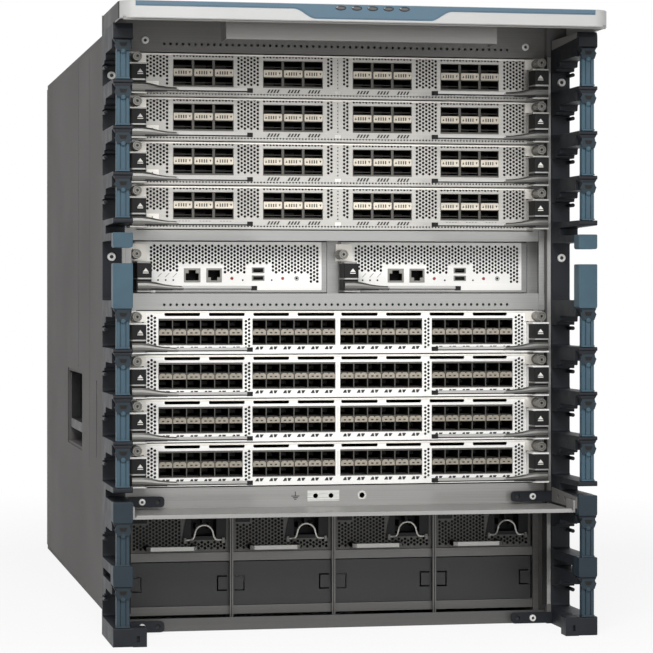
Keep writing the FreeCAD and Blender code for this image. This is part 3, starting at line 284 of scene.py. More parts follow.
class Shape:
    """Points and faces in millimetres, gathered into one mesh; mark names the next finish."""

    def __init__(self, mark):
        self.points = []
        self.faces = []
        self.marks = []
        self.mark = mark
        self.mesh = None

    def add(self, points, faces):
        """Points and faces of one more part, in the finish that mark names."""
        first = len(self.points)
        self.points.extend(points)
        for face in faces:
            self.faces.append([first + k for k in face])
            self.marks.append(self.mark)

    def prism(self, outline, start, end, axis="Y"):
        """Straight piece with this outline across its axis, which runs to the back if not given."""
        count = len(outline)
        faces = [list(range(count))[::-1], list(range(count, 2 * count))]
        faces += [[k, (k + 1) % count, (k + 1) % count + count, k + count] for k in range(count)]
        self.add(two_ends(outline, start, end, axis), faces)

    def box(self, x0, x1, y0, y1, z0, z1):
        """Block between two corners."""
        self.prism(oblong(x0, x1, z0, z1), y0, y1)

    def boxes(self, x0, x1, *rest):
        """Block on the right and, before it, its mirror image on the left."""
        self.box(-x1, -x0, *rest)
        self.box(x0, x1, *rest)

    def walls(self, outline, start, end, cap=True):
        """Inside of a straight hollow, open at its start."""
        count = len(outline)
        faces = [[k + count, (k + 1) % count + count, (k + 1) % count, k] for k in range(count)]
        if cap:
            faces.append(list(range(count, 2 * count))[::-1])
        self.add(two_ends(outline, start, end), faces)

    def turned(self, profile, x, z, sides, ribs=0.0):
        """Round piece; the profile gives radius and depth, front to back, and where ribs are."""
        points = []
        for radius, depth, *ribbed in profile:
            for k in range(sides):
                reach = radius - (ribs if ribbed and k % 2 else 0.0)
                angle = -2 * math.pi * k / sides
                points.append((x + reach * math.cos(angle), depth, z + reach * math.sin(angle)))
        self.add(points, ring_faces(len(profile), sides))

    def tube(self, path, radius, sides=8):
        """Round bar along a path in an upright plane."""
        side = Vector((0, 1, 0))
        points = []
        for k, point in enumerate(path):
            ahead = Vector(path[min(k + 1, len(path) - 1)]) - Vector(path[max(k - 1, 0)])
            across = ahead.normalized().cross(side)
            for step in range(sides):
                angle = 2 * math.pi * step / sides
                points.append(tuple(Vector(point) + radius * (
                    across * math.cos(angle) + side * math.sin(angle))))
        self.add(points, [face[::-1] for face in ring_faces(len(path), sides)])

    def plate(self, outline, holes, start, end, axis="Y"):
        """Flat piece with holes right through it."""
        curve = bpy.data.curves.new("plate", "CURVE")
        curve.dimensions = "2D"
        curve.fill_mode = "BOTH"
        curve.extrude = (end - start) / 2
        for loop in [outline] + holes:
            spline = curve.splines.new("POLY")
            spline.points.add(len(loop) - 1)
            spline.points.foreach_set("co", [c for u, v in loop for c in (u, v, 0.0, 1.0)])
            spline.use_cyclic_u = True
        item = bpy.data.objects.new("plate", curve)
        bpy.context.scene.collection.objects.link(item)
        graph = bpy.context.evaluated_depsgraph_get()
        mesh = bpy.data.meshes.new_from_object(item.evaluated_get(graph))
        middle = (start + end) / 2
        flip = -1 if axis == "Y" else 1
        points = [turn(axis, p.co.x, p.co.y, middle + flip * p.co.z) for p in mesh.vertices]
        self.add(points, [list(face.vertices) for face in mesh.polygons])
        bpy.data.objects.remove(item)
        bpy.data.curves.remove(curve)
        bpy.data.meshes.remove(mesh)

    def mirrored(self):
        """The same shape with left and right changed over."""
        other = Shape(self.mark)
        other.points = [(-x, y, z) for x, y, z in self.points]
        other.faces = [face[::-1] for face in self.faces]
        other.marks = list(self.marks)
        return other


def build_mesh(name, shape, smooth):
    """Mesh of a shape, its finishes in the order of their first use."""
    mesh = bpy.data.meshes.new(name)
    mesh.from_pydata([[c / 1000 for c in point] for point in shape.points], [], shape.faces)
    used = list(dict.fromkeys(shape.marks))
    mesh.polygons.foreach_set("material_index", [used.index(mark) for mark in shape.marks])
    for finish in used:
        mesh.materials.append(FINISHES[finish])
    if smooth:
        mesh.shade_smooth()
        mesh.set_sharp_from_angle(angle=math.radians(40))
    mesh.update()
    return mesh


def piece(name, shape, body="chassis", at=(0, 0, 0), bevel=0.0, smooth=False,
          instead_of=None):
    """Object that rides on a body of the frame, where it stands for the body's own node.

    Objects of one shape share its mesh. On the chassis the node is given, if there is one.
    """
    if shape.mesh is None:
        shape.mesh = build_mesh(name, shape, smooth)
    item = bpy.data.objects.new(name, shape.mesh)
    if bevel:
        rounding = item.modifiers.new("rounding", "BEVEL")
        rounding.width = bevel / 1000
        rounding.segments = 2
        rounding.limit_method = "ANGLE"
        rounding.angle_limit = math.radians(40)
    bpy.context.scene.collection.objects.link(item)
    item.location = spot(*at)
    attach(item, body)
    if body != "chassis":
        instead_of = body
    if instead_of:
        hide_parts(instead_of)


def pair(name, shape, bevel=0.0, instead_of=None):
    """A piece on the left of the chassis and its mirror image on the right."""
    for side, form in (("left", shape), ("right", shape.mirrored())):
        node = "%s_%s" % (side, instead_of) if instead_of else None
        piece("%s_%s" % (side, name), form, bevel=bevel, instead_of=node)


# ---------------------------------------------------------------- I/O cards

WALL_TOP = SLOT_PITCH - 3.5
TRAY_HALF = CARD_HALF - 9.2
CARD_BACK = high("io_card_1")[1]
PLATE_BACK = 2                    # a faceplate is this thick
PLUG_REACH = 4.8                  # rear plugs past the end of a tray
PIVOT_X = BODY_HALF - 13.2        # where a card's ejectors turn
PIVOT_OUT = 19.0                  # axes of all ejectors ahead of their faceplate
CARD_GAP = 0.9                    # faceplate inside its slot, below and above
PORT_BOTTOM = 9.3                 # of a block of ports, and top of the board behind it
BEAD_HALF = 198                   # half the bead along a card's top edge
SINK = (176, 266)                 # front and back of the heat sinks
STRIP = (-1.3, -0.5)              # front and back of the strips between the ports
STRIP_MARK = (-1.45, -1.3)        # the same of the marks on them
FACE_MARK = (-0.3, 0.1)           # and of the marks on the faceplate


def add_module_body(shape, left, right, back, floor, board_top, wall_top):
    """Tray, board, heat sink and rear plugs of a module, behind its faceplate."""
    shape.mark = "zinc_sheet"
    shape.box(left, right, PLATE_BACK, back, floor, floor + 1.5)
    shape.box(left, left + 1.5, PLATE_BACK, back, floor + 1.5, wall_top)
    shape.box(right - 1.5, right, PLATE_BACK, back, floor + 1.5, wall_top)
    shape.mark = "board_green"
    shape.box(left + 1.5, right - 1.5, PLATE_BACK, back, board_top - 1.6, board_top)
    shape.mark = "heat_sink"
    middle = (left + right) / 2
    shape.box(middle - 45, middle + 45, *SINK, board_top, board_top + 4)
    for k in range(16):
        x = middle - 45 + k * 88 / 15
        shape.box(x, x + 2, *SINK, board_top + 4, board_top + 20)
    shape.mark = "plug_black"
    for x in (left + 60, right - 130):
        shape.box(x, x + 70, back - 22, back + PLUG_REACH, board_top, board_top + 18)


def add_bracket(shape, left, right):
    """Bracket that holds an ejector between two plates."""
    shape.prism([(-25.2, 1.4), (0, 1.4), (0, 32.1), (-25.2, 32.1), (-25.2, 30.6), (-1.5, 30.6),
                 (-1.5, 2.9), (-25.2, 2.9)], left, right, "X")


def add_captive_screw(shape, x, z):
    """Knurled captive screw with a deep middle and a groove around it."""
    shape.mark = "screw_steel"
    shape.turned([(1.3, -18.0), (1.5, -24.4), (2.7, -24.4), (2.9, -23.4), (3.4, -23.4),
                  (3.6, -25), (4.5, -25), (5.0, -24.3, 1), (5.0, -9, 1), (4.6, -8.4), (3.4, -8),
                  (3.4, -2.5), (5.0, -2.2), (5.0, 0)], x, z, 36, 0.35)


def add_ports(shape, left, bottom, top, columns, first, pitch, width, rows, height):
    """One block of ports: its front frame, its outside and the dark hollows."""
    back = 48
    right = left + (columns - 1) * pitch + width + 2 * first
    holes = [oblong(left + first + k * pitch, left + first + k * pitch + width, z, z + height)
             for z in rows for k in range(columns)]
    # The front frame and outside of the block take the darker metal as painted shade.
    shape.mark = "cage_painted_shade"
    shape.plate(oblong(left, right, bottom, top), holes, 0.4, 1.2)
    shape.add([(x, y, z) for y in (1.2, back) for x, z in oblong(left, right, bottom, top)],
              [[0, 1, 5, 4], [1, 2, 6, 5], [2, 3, 7, 6], [3, 0, 4, 7], [4, 5, 6, 7]])
    for hole in holes:
        shape.mark = "port_dark"
        shape.walls(hole, 1.2, back - 4)
        (x0, z0), (x1, z1) = hole[0], hole[2]
        shape.mark = "port_floor"
        shape.box(x0 + 0.2, x1 - 0.2, 10, back - 4.2, z0 + 0.1, z0 + 0.7)
        middle = (z0 + z1) / 2
        shape.box(x0 + 2.2, x1 - 2.2, back - 16, back - 4.4, middle - 1.6, middle + 1.6)


WIDE_GROUPS = [(-170.2, -106.0), (-78.4, -14.2), (14.2, 78.4), (106.0, 170.2)]
SMALL_GROUPS = [(-183.7, -98.0), (-88.1, -2.4), (2.4, 88.1), (98.0, 183.7)]


def add_painted_shade_sheets(shape, fields):
    """Dark sheets a little behind perforated fields, given as left, right, bottom, top: painted
    shade seen through the holes.
    """
    shape.mark = "port_dark"
    for left, right, bottom, top in fields:
        shape.box(left, right, 5.0, 5.6, bottom, top)


def add_card_plate(shape, holes):
    """Faceplate of an I/O card, flanged to the back, with a bright bead along its top edge."""
    face = shape.mark
    top = SLOT_PITCH - CARD_GAP
    shape.plate(oblong(-CARD_HALF, CARD_HALF, CARD_GAP, top), holes, 0, PLATE_BACK)
    shape.mark = "bracket_bright"
    shape.box(-BEAD_HALF, BEAD_HALF, -0.5, 0, SLOT_PITCH - 2.4, top)
    # Painted shadow: a dark strip near each end of the faceplate, for the shaded gap beside the
    # screw bracket.
    shape.mark = "port_dark"
    shape.boxes(198.4, 200.6, -0.2, 0, 9.0, SLOT_PITCH - 2.0)
    shape.mark = face
    shape.box(-TRAY_HALF, TRAY_HALF, PLATE_BACK, 9, 0.5, 2)
    shape.box(-TRAY_HALF, TRAY_HALF, PLATE_BACK, 9, SLOT_PITCH - 2, SLOT_PITCH - 0.5)


def add_card_rest(shape, face):
    """Inside of an I/O card, and the ejector brackets and captive screws at its ends."""
    add_module_body(shape, -TRAY_HALF, TRAY_HALF, CARD_BACK - PLUG_REACH, 4.1, PORT_BOTTOM,
                    WALL_TOP)
    for side in (-1, 1):
        shape.mark = face
        pivot = side * PIVOT_X
        add_bracket(shape, pivot - 8.5, pivot + 8.5)
        shape.mark = "bracket_bright"
        x0, x1 = sorted((pivot - side * 10.5, pivot + side * 4.0))
        shape.box(x0, x1, -2.2, 0, 33.0, 43.4)
        add_captive_screw(shape, side * (BODY_HALF - 12.3), 38.3)


def wide_card():
    """I/O card with four blocks of three by two wide ports in a perforated faceplate."""
    shape = Shape("card_silver")
    top = 38.0
    first, pitch, width, rows = 1.9, 21.0, 18.4, (12.2, 28.9)

    def clear(x, z):
        near = any(a - HOLE - 0.3 < x < b + HOLE + 0.3 for a, b in WIDE_GROUPS)
        tagged = x < -176 and z < 20
        return abs(x) > 3.6 and not near and not tagged

    holes = [oblong(a + 1.2, b - 1.2, PORT_BOTTOM + 1.2, top) for a, b in WIDE_GROUPS]
    holes += perforation(-197, 197, 11.6, 43.9, clear)
    holes += [ring(0, 11 + 3.6 * k, 0.75, 8) for k in range(9)]
    for a, b in WIDE_GROUPS:
        count = int((b - a - 3) / 3.3) + 1
        start = (a + b - 3.3 * (count - 1)) / 2
        holes += [ring(start + 3.3 * k, 41.4 + 0.4 * (k % 2), 1.32, 6) for k in range(count)]
    holes += [ring(3.3 * k, 3.6, 1.0, 6) for k in range(-59, 60)]
    add_card_plate(shape, holes)
    edges = [-BEAD_HALF] + [x for group in WIDE_GROUPS for x in group] + [BEAD_HALF]
    fields = [(edges[k] + 0.2, edges[k + 1] - 0.2, 10.2, 38.4) for k in range(0, 10, 2)]
    fields += [(-BEAD_HALF, BEAD_HALF, 38.4, 43.4), (-BEAD_HALF, BEAD_HALF, 2.0, 8.6)]
    # Painted shade behind the perforation of the faceplate.
    add_painted_shade_sheets(shape, fields)
    shape.mark = "bracket_bright"
    shape.box(-195.6, -183.4, -0.4, 0, 10.6, 15.8)
    shape.mark = "mark_dark"
    shape.box(-190.6, -189.4, -0.5, -0.4, 11.8, 13.0)
    for a, _ in WIDE_GROUPS:
        add_ports(shape, a, PORT_BOTTOM, top, 3, first, pitch, width, rows, 8.5)
        for k in range(3):
            x = a + first + pitch * k
            shape.mark = "strip_cream"
            shape.prism(rounded_oblong(x - 0.2, x + 18.6, 21.4, 28.4, 0.8, 2), *STRIP)
            shape.mark = "mark_dark"
            shape.prism([(x + 1.2, 23.6), (x + 3.2, 23.6), (x + 2.2, 26.0)], *STRIP_MARK)
            shape.prism([(x + 15.2, 26.0), (x + 17.2, 26.0), (x + 16.2, 23.6)], *STRIP_MARK)
            for step in (4.6, 7.0, 9.4, 11.8):
                shape.box(x + step, x + step + 1.1, *STRIP_MARK, 23.2, 26.4)
            shape.mark = "port_floor"
            for z in rows:
                shape.box(x + 0.6, x + 17.8, 1.6, 2.2, z + 2.3, z + 2.9)
            shape.mark = "mark_dark"
            for slant in (3.4, 6.6, 9.8, 13.0):
                shape.prism([(x + slant, 5.4), (x + slant + 1.7, 5.4), (x + slant + 3.6, 8.8),
                             (x + slant + 1.9, 8.8)], *FACE_MARK)
    shape.mark = "mark_pale"
    shape.box(-3.0, 3.0, -0.25, 0.05, 4.6, 8.0)
    add_card_rest(shape, "card_silver")
    return shape


def small_card():
    """I/O card with four blocks of six by two small ports."""
    shape = Shape("card_white")
    top = 36.3
    first, pitch, width, rows = 0.4, 14.3, 13.4, (10.5, 25.8)
    holes = [oblong(a, b, PORT_BOTTOM, top) for a, b in SMALL_GROUPS]
    for side in (-1, 1):
        for a, b in ((3.6, 41.6), (50.3, 87.1), (95.9, 132.5), (141.4, 177.6)):
            holes.append(rounded_oblong(side * a, side * b, 38.8, 42.5, 1.6, 3))
        for a, b in ((88.9, 97.2), (184.6, 196.5)):
            x0, x1 = sorted((side * a, side * b))
            holes += perforation(x0, x1, 3.6, 38.6 if a < 100 else SLOT_PITCH - 2.6)
    add_card_plate(shape, holes)
    for a, _ in SMALL_GROUPS:
        add_ports(shape, a, PORT_BOTTOM, top, 6, first, pitch, width, rows, 8.7)
        for k in range(6):
            x = a + first + pitch * k
            shape.mark = "strip_tan"
            shape.prism([(x + 0.2, 19.7), (x + 13.2, 19.7), (x + 13.2, 23.6), (x + 11.2, 25.4),
                         (x + 8.0, 25.4), (x + 6.7, 23.8), (x + 5.4, 25.4), (x + 2.2, 25.4),
                         (x + 0.2, 23.6)], *STRIP)
            shape.mark = "mark_dark"
            for step in (3.0, 8.0):
                shape.box(x + step, x + step + 2.4, *STRIP_MARK, 21.2, 22.6)
            shape.prism([(x + 2.4, 4.9), (x + 6.4, 4.9), (x + 6.0, 7.9), (x + 4.2, 7.9)],
                        *FACE_MARK)
            shape.prism([(x + 7.2, 7.9), (x + 11.2, 7.9), (x + 9.4, 4.9), (x + 7.6, 4.9)],
                        *FACE_MARK)
    shape.mark = "mark_pale"
    shape.box(-1.1, 1.1, -0.3, 0.05, 11, 35)
    add_card_rest(shape, "card_white")
    return shape


def build_cards():
    """Four cards with wide ports over four with small ones."""
    for shape, slot, numbers in ((wide_card(), "card_silver", range(1, 5)),
                                 (small_card(), "card_white", range(5, 9))):
        for number in numbers:
            piece("card_%d" % number, shape, "io_card_%d" % number, (0, 0, SLOTS[number]))


# ---------------------------------------------------------------- ejectors

HEAD = [(-7.5, -9.75), (7.5, -9.75), (9.5, 7.5), (5.0, 11.0), (-5.0, 11.0), (-9.5, 7.5)]


def ejector():
    """Ejector lever about its pivot: black head and wedge, silver bar with a black end."""
    shape = Shape("lever_black")
    rounded = soften([(x, y, 1.4) for x, y in HEAD], 3)
    inner = [(x * 0.94, y * 0.94) for x, y in rounded]
    shape.prism(rounded, 15.8, 30.3, "Z")
    shape.prism([(x, max(y, -6.4)) for x, y in rounded], 3.2, 14.2, "Z")
    shape.prism([(6.5, -8.75), (28.75, -8.75), (28.75, -5.75), (8.0, 1.0)], 3.2, 7.4, "Z")
    shape.prism(soften([(109.0, -9.75, 0.2), (113.6, -9.75, 1.4), (115.0, -8.6, 1.2),
                        (115.0, -5.75, 0.4), (109.0, -5.75, 0.2)], 3), 3.2, 7.6, "Z")
    # Painted shadow: a black strip under the silver bar.
    shape.box(38.0, 109.0, -9.3, -5.95, 3.7, 4.8)
    shape.mark = "lever_bar"
    shape.prism(inner, 14.2, 15.8, "Z")
    shape.box(38.0, 109.0, -9.55, -5.95, 4.8, 7.6)
    shape.mark = "mark_pale"
    shape.prism([(-1.4, 21.8), (4.4, 21.8), (1.5, 25.4)], -10.1, -9.7)
    shape.box(-1.4, 4.4, -10.1, -9.7, 20.1, 21.0)
    shape.mark = "lever_root"
    crest = [(-6.6, 12.6), (4.0, 12.6), (12.0, 11.4), (20.0, 9.4), (30.0, 8.0), (40.0, 7.5)]
    add_swelling(shape, crest, 3.4, -9.75)
    return shape


def add_swelling(shape, crest, floor, front):
    """Root of a lever: a long pad under a crest line, rounded towards its edges."""
    points = []
    for x, top in crest:
        middle = (floor + top) / 2
        half = (top - floor) / 2
        for k in range(7):
            angle = math.pi * k / 6
            points.append((x, front + 3.0 * (1 - math.sin(angle)), middle - half * math.cos(angle)))
    faces = [[7 * s + k, 7 * s + 7 + k, 7 * s + 8 + k, 7 * s + 1 + k]
             for s in range(len(crest) - 1) for k in range(6)]
    last = 7 * (len(crest) - 1)
    faces += [[k for k in range(7)], [last + k for k in range(7)][::-1]]
    faces += [[7 * s + 6, 7 * s + 13, 7 * s + 7, 7 * s] for s in range(len(crest) - 1)]
    shape.add(points, faces)


def build_ejectors():
    """Levers of the cards, left and right, and the left kind on the supervisors."""
    left = ejector()
    right = left.mirrored()
    for number in range(1, 9):
        for side, sign, shape in (("left", -1, left), ("right", 1, right)):
            ending = "ejector_%d_%s" % (number, side)
            piece(ending, shape, "io_" + ending,
                  (sign * PIVOT_X, -PIVOT_OUT, SLOTS[number]), 0.35)
    for number in (1, 2):
        pivot = low("supervisor_%d" % number)[0] + 7.1
        piece("control_ejector_%d" % number, left,
              "supervisor_ejector_%d" % number, (pivot, CONTROL_FACE - PIVOT_OUT, CONTROL), 0.35)


# ---------------------------------------------------------------- supervisors

CONTROL_WIDTH = high("supervisor_1")[0] - low("supervisor_1")[0]


def supervisor():
    """Supervisor from the left end of its face, with jacks, USB ports and indicators."""
    shape = Shape("card_white")
    width = CONTROL_WIDTH
    jacks, jack_z = [(51.0, 68.0, 1), (74.0, 90.0, -1)], (11.4, 25.6)
    usb, usb_z = (121.0, 134.0), ((13.0, 18.4), (20.8, 26.6))
    reset = (167.6, 15.4)

    def clear(x, z):
        floors = ((46, 22.0), (93, 30.0), (116, 20.0), (140, 30.0), (182, 20.0), (200, 11.0))
        return z > next(floor for end, floor in floors if x < end)

    holes = [oblong(a, b, *jack_z) for a, b, _ in jacks]
    holes += [oblong(*usb, z0, z1) for z0, z1 in usb_z]
    holes += perforation(14.4, 192.4, 10.0, 50.6, clear, radius=1.6)
    shape.plate(oblong(0, width, 1.0, 52.6), holes, 0, PLATE_BACK)
    shape.box(0, width, PLATE_BACK, 9, 1.0, 2.5)
    shape.box(0, width, PLATE_BACK, 9, 51.1, 52.6)
    for a, b, way in jacks:
        opening = [(a + 1.8, 13.2), (b - 1.8, 13.2), (b - 1.8, 20.6), (b - 4.8, 20.6),
                   (b - 4.8, 23.8), (a + 4.8, 23.8), (a + 4.8, 20.6), (a + 1.8, 20.6)]
        if way < 0:
            opening = [(x, 37.0 - z) for x, z in opening]
        add_socket(shape, oblong(a, b, *jack_z), opening)
    for z0, z1 in usb_z:
        add_socket(shape, oblong(*usb, z0, z1), oblong(122.4, 132.6, z0 + 0.9, z1 - 0.9))
        shape.mark = "plug_black"
        shape.box(123.4, 131.6, 1.0, 14.0, (z0 + z1) / 2, (z0 + z1) / 2 + 1.4)
    shape.mark = "plug_black"
    for k in range(3):
        x = 24.0 + 7.8 * k
        shape.prism([(x, 16.6), (x + 0.5, 16.6), (x + 4.5, 20.6), (x + 4.0, 20.6)], -0.2, 0.1)
    shape.mark = "mark_red"
    for x in (100.4, 153.0):
        shape.turned([(1.1, -0.6), (1.6, -0.3), (1.6, 0.1)], x, 15.4, 12)
    shape.mark = "port_dark"
    for x, z in ((111.6, 13.6), (141.6, 13.6), (24.6, 13.6), (32.4, 13.6), (40.2, 13.6)):
        shape.turned([(0.9, -0.2), (0.9, 0.1)], x, z, 10)
    shape.turned([(1.2, -0.3), (1.3, 0.1)], *reset, 16)
    shape.mark = "rail_silver"
    shape.plate(ring(*reset, 2.4, 20), [ring(*reset, 1.7, 16)], -0.5, 0)
    # Painted shade behind the perforation of the faceplate.
    add_painted_shade_sheets(shape, [(14, 192.4, 31.0, 51.0), (14, 46, 19, 31), (93, 116, 19, 31),
                        (140, 192.4, 19, 31), (182, 192.4, 9.4, 19)])
    shape.mark = "rail_silver"
    shape.box(0, 2.0, -0.8, 0, 1.2, 52.4)
    shape.box(width - 5.0, width, -0.8, 0, 1.2, 52.4)
    shape.box(22.0, width - 5.0, -0.5, 0, 1.2, 3.4)
    add_bracket(shape, 0.6, 13.6)
    shape.mark = "bracket_bright"
    shape.box(-4.0, 13.4, -2.0, 0, 33.2, 50.6)
    add_captive_screw(shape, 0.0, 39.8)
    add_module_body(shape, 0, width, CARD_BACK - CONTROL_FACE - PLUG_REACH, 2.5, 11.4, 49.1)
    return shape


def add_socket(shape, outline, opening):
    """Metal socket whose dark opening is sunk in its face."""
    shape.mark = "screw_steel"
    shape.plate(outline, [opening], -0.6, 0.8)
    shape.walls(outline[::-1], 20, 0.8, False)
    shape.mark = "port_dark"
    shape.walls(opening, 0.8, 16)


def build_supervisors():
    """Two equal supervisors side by side."""
    shape = supervisor()
    for number in (1, 2):
        node = "supervisor_%d" % number
        piece("control_%d" % number, shape, node,
              (low(node)[0], CONTROL_FACE, CONTROL))


# ---------------------------------------------------------------- power units

UNIT_HALF = (high("power_supply_1")[0] - low("power_supply_1")[0]) / 2
UNIT_TOP = high("power_supply_1")[2] - UNIT_LOW


def power_supply():
    """Power supply about the middle of its face: perforated, with inlet and grip."""
    shape = Shape("unit_dark")
    bezel = [(2.4, 12.4), (8.6, 43.2), (48.0, 43.2), (48.0, 12.4)]
    mouth = [(12.0, 16.0), (38.0, 16.0), (38.0, 34.0), (34.0, 38.0), (16.0, 38.0), (12.0, 34.0)]

    def clear(x, z):
        return not (x > 0.0 and z > 10.6) and not (x < -30.6 and z > 27.4)

    field = perforation(-49.4, 49.4, 1.6, UNIT_TOP - 1.6, clear, (3.3, 3.8), 1.6)
    face, wall = 1.4, 1.2
    shell, depth = 24.0, 400.0    # the plain block behind the perforated face
    shape.plate(oblong(-UNIT_HALF, UNIT_HALF, 0, UNIT_TOP),
                field + [oblong(10.0, 40.0, 14.0, 40.0)], 0, face)
    shape.box(-UNIT_HALF, UNIT_HALF, shell, depth, 0, UNIT_TOP)
    for z0, z1 in ((0, wall), (UNIT_TOP - wall, UNIT_TOP)):
        shape.box(-UNIT_HALF, UNIT_HALF, face, shell, z0, z1)
    shape.boxes(UNIT_HALF - wall, UNIT_HALF, face, shell, wall, UNIT_TOP - wall)
    shape.mark = "plug_black"
    shape.box(1.3 - UNIT_HALF, UNIT_HALF - 1.3, 22.6, shell, 1.3, UNIT_TOP - 1.3)
    shape.plate(bezel, [mouth], -1.2, 0)
    shape.walls(mouth, 0, 20)
    for x, z in ((18.4, 25.0), (25.0, 30.0), (31.6, 25.0)):
        shape.box(x - 1.0, x + 1.0, 4, 20, z - 2.8, z + 2.8)
    shape.box(-48.0, -33.0, -1.0, 0, 30.0, 42.4)
    shape.mark = "mark_dark"
    for k in range(3):
        shape.box(-45.6 + 4.4 * k, -43.2 + 4.4 * k, -1.3, -1.0, 33.0, 34.8)
    shape.mark = "bay_grey"
    for x in (4.2, 43.4):
        shape.box(x, x + 2.4, -5.0, 0, 9.2, 14.8)
    tip = -22.0
    bar = soften([(-36.0, 0.0, 0), (-36.0, tip + 4, 1.2), (-32.0, tip, 1.2), (12.0, tip, 1.2),
                  (16.0, tip + 4, 1.2), (16.0, 0.0, 0), (12.0, 0.0, 0), (12.0, tip + 4, 1.0),
                  (-32.0, tip + 4, 1.0), (-32.0, 0.0, 0)], 3)
    shape.mark = "lever_bar"
    shape.prism(bar, 3.5, 7.5, "Z")
    shape.mark = "plug_black"
    shape.box(-36.0, -31.4, -18.0, -1.0, 3.2, 7.8)
    shape.box(11.4, 16.0, -18.0, -1.0, 3.2, 7.8)
    return shape


WIRE_RADIUS = 0.9


def cord_clip():
    """Bent wire clip about its hinge, with an arch over the plug."""
    shape = Shape("wire_steel")
    path = [(-18.0, 0, 0.6), (-13.6, 0, 0.6), (-11.8, 0, 1.2), (-10.4, 0, 3.2)]
    for k in range(13):
        angle = math.radians(176 - 172 * k / 12)
        path.append((9.4 * math.cos(angle), 0, 6.0 + 9.6 * math.sin(angle)))
    path += [(-x, y, z) for x, y, z in reversed(path[:4])]
    shape.tube(path, WIRE_RADIUS)
    return shape


def build_power_units():
    """Four power supplies, each with its cord clip."""
    supply, clip = power_supply(), cord_clip()
    for number in range(1, 5):
        node = "power_supply_%d" % number
        middle = (low(node)[0] + high(node)[0]) / 2
        piece("supply_%d" % number, supply, node, (middle, CONTROL_FACE, UNIT_LOW))
        node = "cord_clip_%d" % number
        (x0, y0, z0), (x1, y1, _) = low(node), high(node)
        piece("clip_%d" % number, clip, node,
              ((x0 + x1) / 2, (y0 + y1) / 2, z0 + WIRE_RADIUS), smooth=True)


# ---------------------------------------------------------------- panels

def hole_row(z):
    """A row of small round holes, across the header or the rail under the supervisors."""
    return [ring(k * 6.35, z, 1.35, 10) for k in range(-28, 29)]


def build_panels():
    """Top sheet with the header under its front edge, and the frame round the supervisors."""
    half = -low("card_cage")[0]
    header = SLOTS[1] + SLOT_PITCH + 0.5
    shape = Shape("header_grey")
    shape.plate(oblong(-half, half, header, TOP - 2), hole_row(header + 8.2), 0, 2)
    shape.box(-half, half, -EAR_FRONT, high("top_panel")[1], TOP - 2, TOP)
    piece("top_sheet", shape, instead_of="top_panel")
    shape = Shape("rail_silver")
    floor = SLOTS[5] + SLOT_PITCH + 0.5
    shape.plate(oblong(-half, half, floor, CONTROL), hole_row(floor + 5.3), 0, 2)
    inner = BODY_HALF - 15.7
    rail = SLOTS[4]
    top = rail - 10.7
    shape.box(-inner, inner, 2, 397, CONTROL - 2, CONTROL)
    shape.box(-half, half, 0, 2, top, rail - 0.5)
    shape.box(-inner, inner, 2, 29, top, top + 2)
    shape.box(-6, 6, 27, 29, CONTROL, top)
    shape.boxes(BODY_HALF - 13.7, half, 27, 29, CONTROL, top)
    piece("control_frame", shape, instead_of="supervisor_frame")


# ---------------------------------------------------------------- hood

def build_hood():
    """Hood with its corners darkened as painted shade, the plate under it, the band across it and
    its lenses.
    """
    half = high("hood")[0]
    front = low("hood")[1]
    back = -EAR_FRONT
    bottom = TOP - 17.0
    radius = 15.4

    def plan(inset):
        """Outline of the hood from above, without its back edge."""
        points = [(inset - half, back)]
        for k in range(9):
            angle = math.pi + math.pi / 2 * k / 8
            points.append((radius - half + (radius - inset) * math.cos(angle),
                           front + radius + (radius - inset) * math.sin(angle)))
        return points + [(-x, y) for x, y in reversed(points)]

    outer, inner = plan(0.0), plan(2.5)
    count = len(outer)
    shape = Shape("hood_silver")
    dark = 3                      # strips at each side in painted shade
    points = [(x, y, z) for z in (bottom, TOP) for x, y in outer]
    points += [(x, y, z) for z in (bottom, TOP - 2.5) for x, y in inner]
    faces = [list(range(count, 2 * count)), list(range(3 * count, 4 * count))[::-1]]
    for k in range(count - 1):
        faces.append([k, k + 1, k + 1 + count, k + count])
        faces.append([2 * count + k + 1, 2 * count + k, 3 * count + k, 3 * count + k + 1])
        faces.append([k + 1, k, 2 * count + k, 2 * count + k + 1])
    last = count - 1
    faces.append([0, count, count + last, last, 2 * count + last, 3 * count + last, 3 * count,
                  2 * count])
    shape.add(points, faces)
    # The side face and first corner strips take the darker copy of the hood's finish as painted
    # shade.
    for k in list(range(dark)) + list(range(count - 1 - dark, count - 1)):
        shape.marks[2 + 3 * k] = "hood_painted_shade"
    piece("hood_shell", shape, bevel=1.0, smooth=True, instead_of="hood")
    shape = Shape("plate_grey")
    shape.box(-134.3, 134.3, front + 30, front + 32, bottom - 15.5, TOP - 2.5)
    for x in (-134.3, 133.1):
        shape.box(x, x + 1.2, front + 32, front + 62, bottom - 15.5, TOP - 2.5)
    shape.box(4 - half, half - 4, front + 2.6, front + 4.4, bottom - 1.6, bottom + 2)
    piece("hood_plate", shape, bevel=0.3)
    reach = half - radius
    shape = Shape("trim_line")
    add_band(shape, reach, TOP - 5.3, 74, front - 0.4, front + 0.4)
    shape.mark = "trim_blue"
    add_band(shape, reach, TOP - 4.1, 73, front - 0.8, front - 0.3)
    piece("hood_band", shape, instead_of="hood_trim")
    shape = Shape("lens_black")
    for k in range(-2, 3):
        add_lens(shape, 3.2 + 15.6 * k, front, TOP - 3.9)
    piece("hood_lenses", shape, smooth=True)


def add_band(shape, reach, base, left, front, back):
    """Band across the hood whose lower edge dips around the lenses, further on the right."""
    blend, dip = 22, 9.3
    edge = []
    for x, way, shares in ((-left, 1, range(13)), (left + 8, -1, range(12, -1, -1))):
        for share in [k / 12 for k in shares]:
            drop = dip * (1 - math.cos(math.pi * share)) / 2
            edge.append((x + way * share * blend, base - drop))
    shape.prism([(-reach, TOP - 0.6), (-reach, base)] + edge + [(reach, base),
                (reach, TOP - 0.6)], front, back)


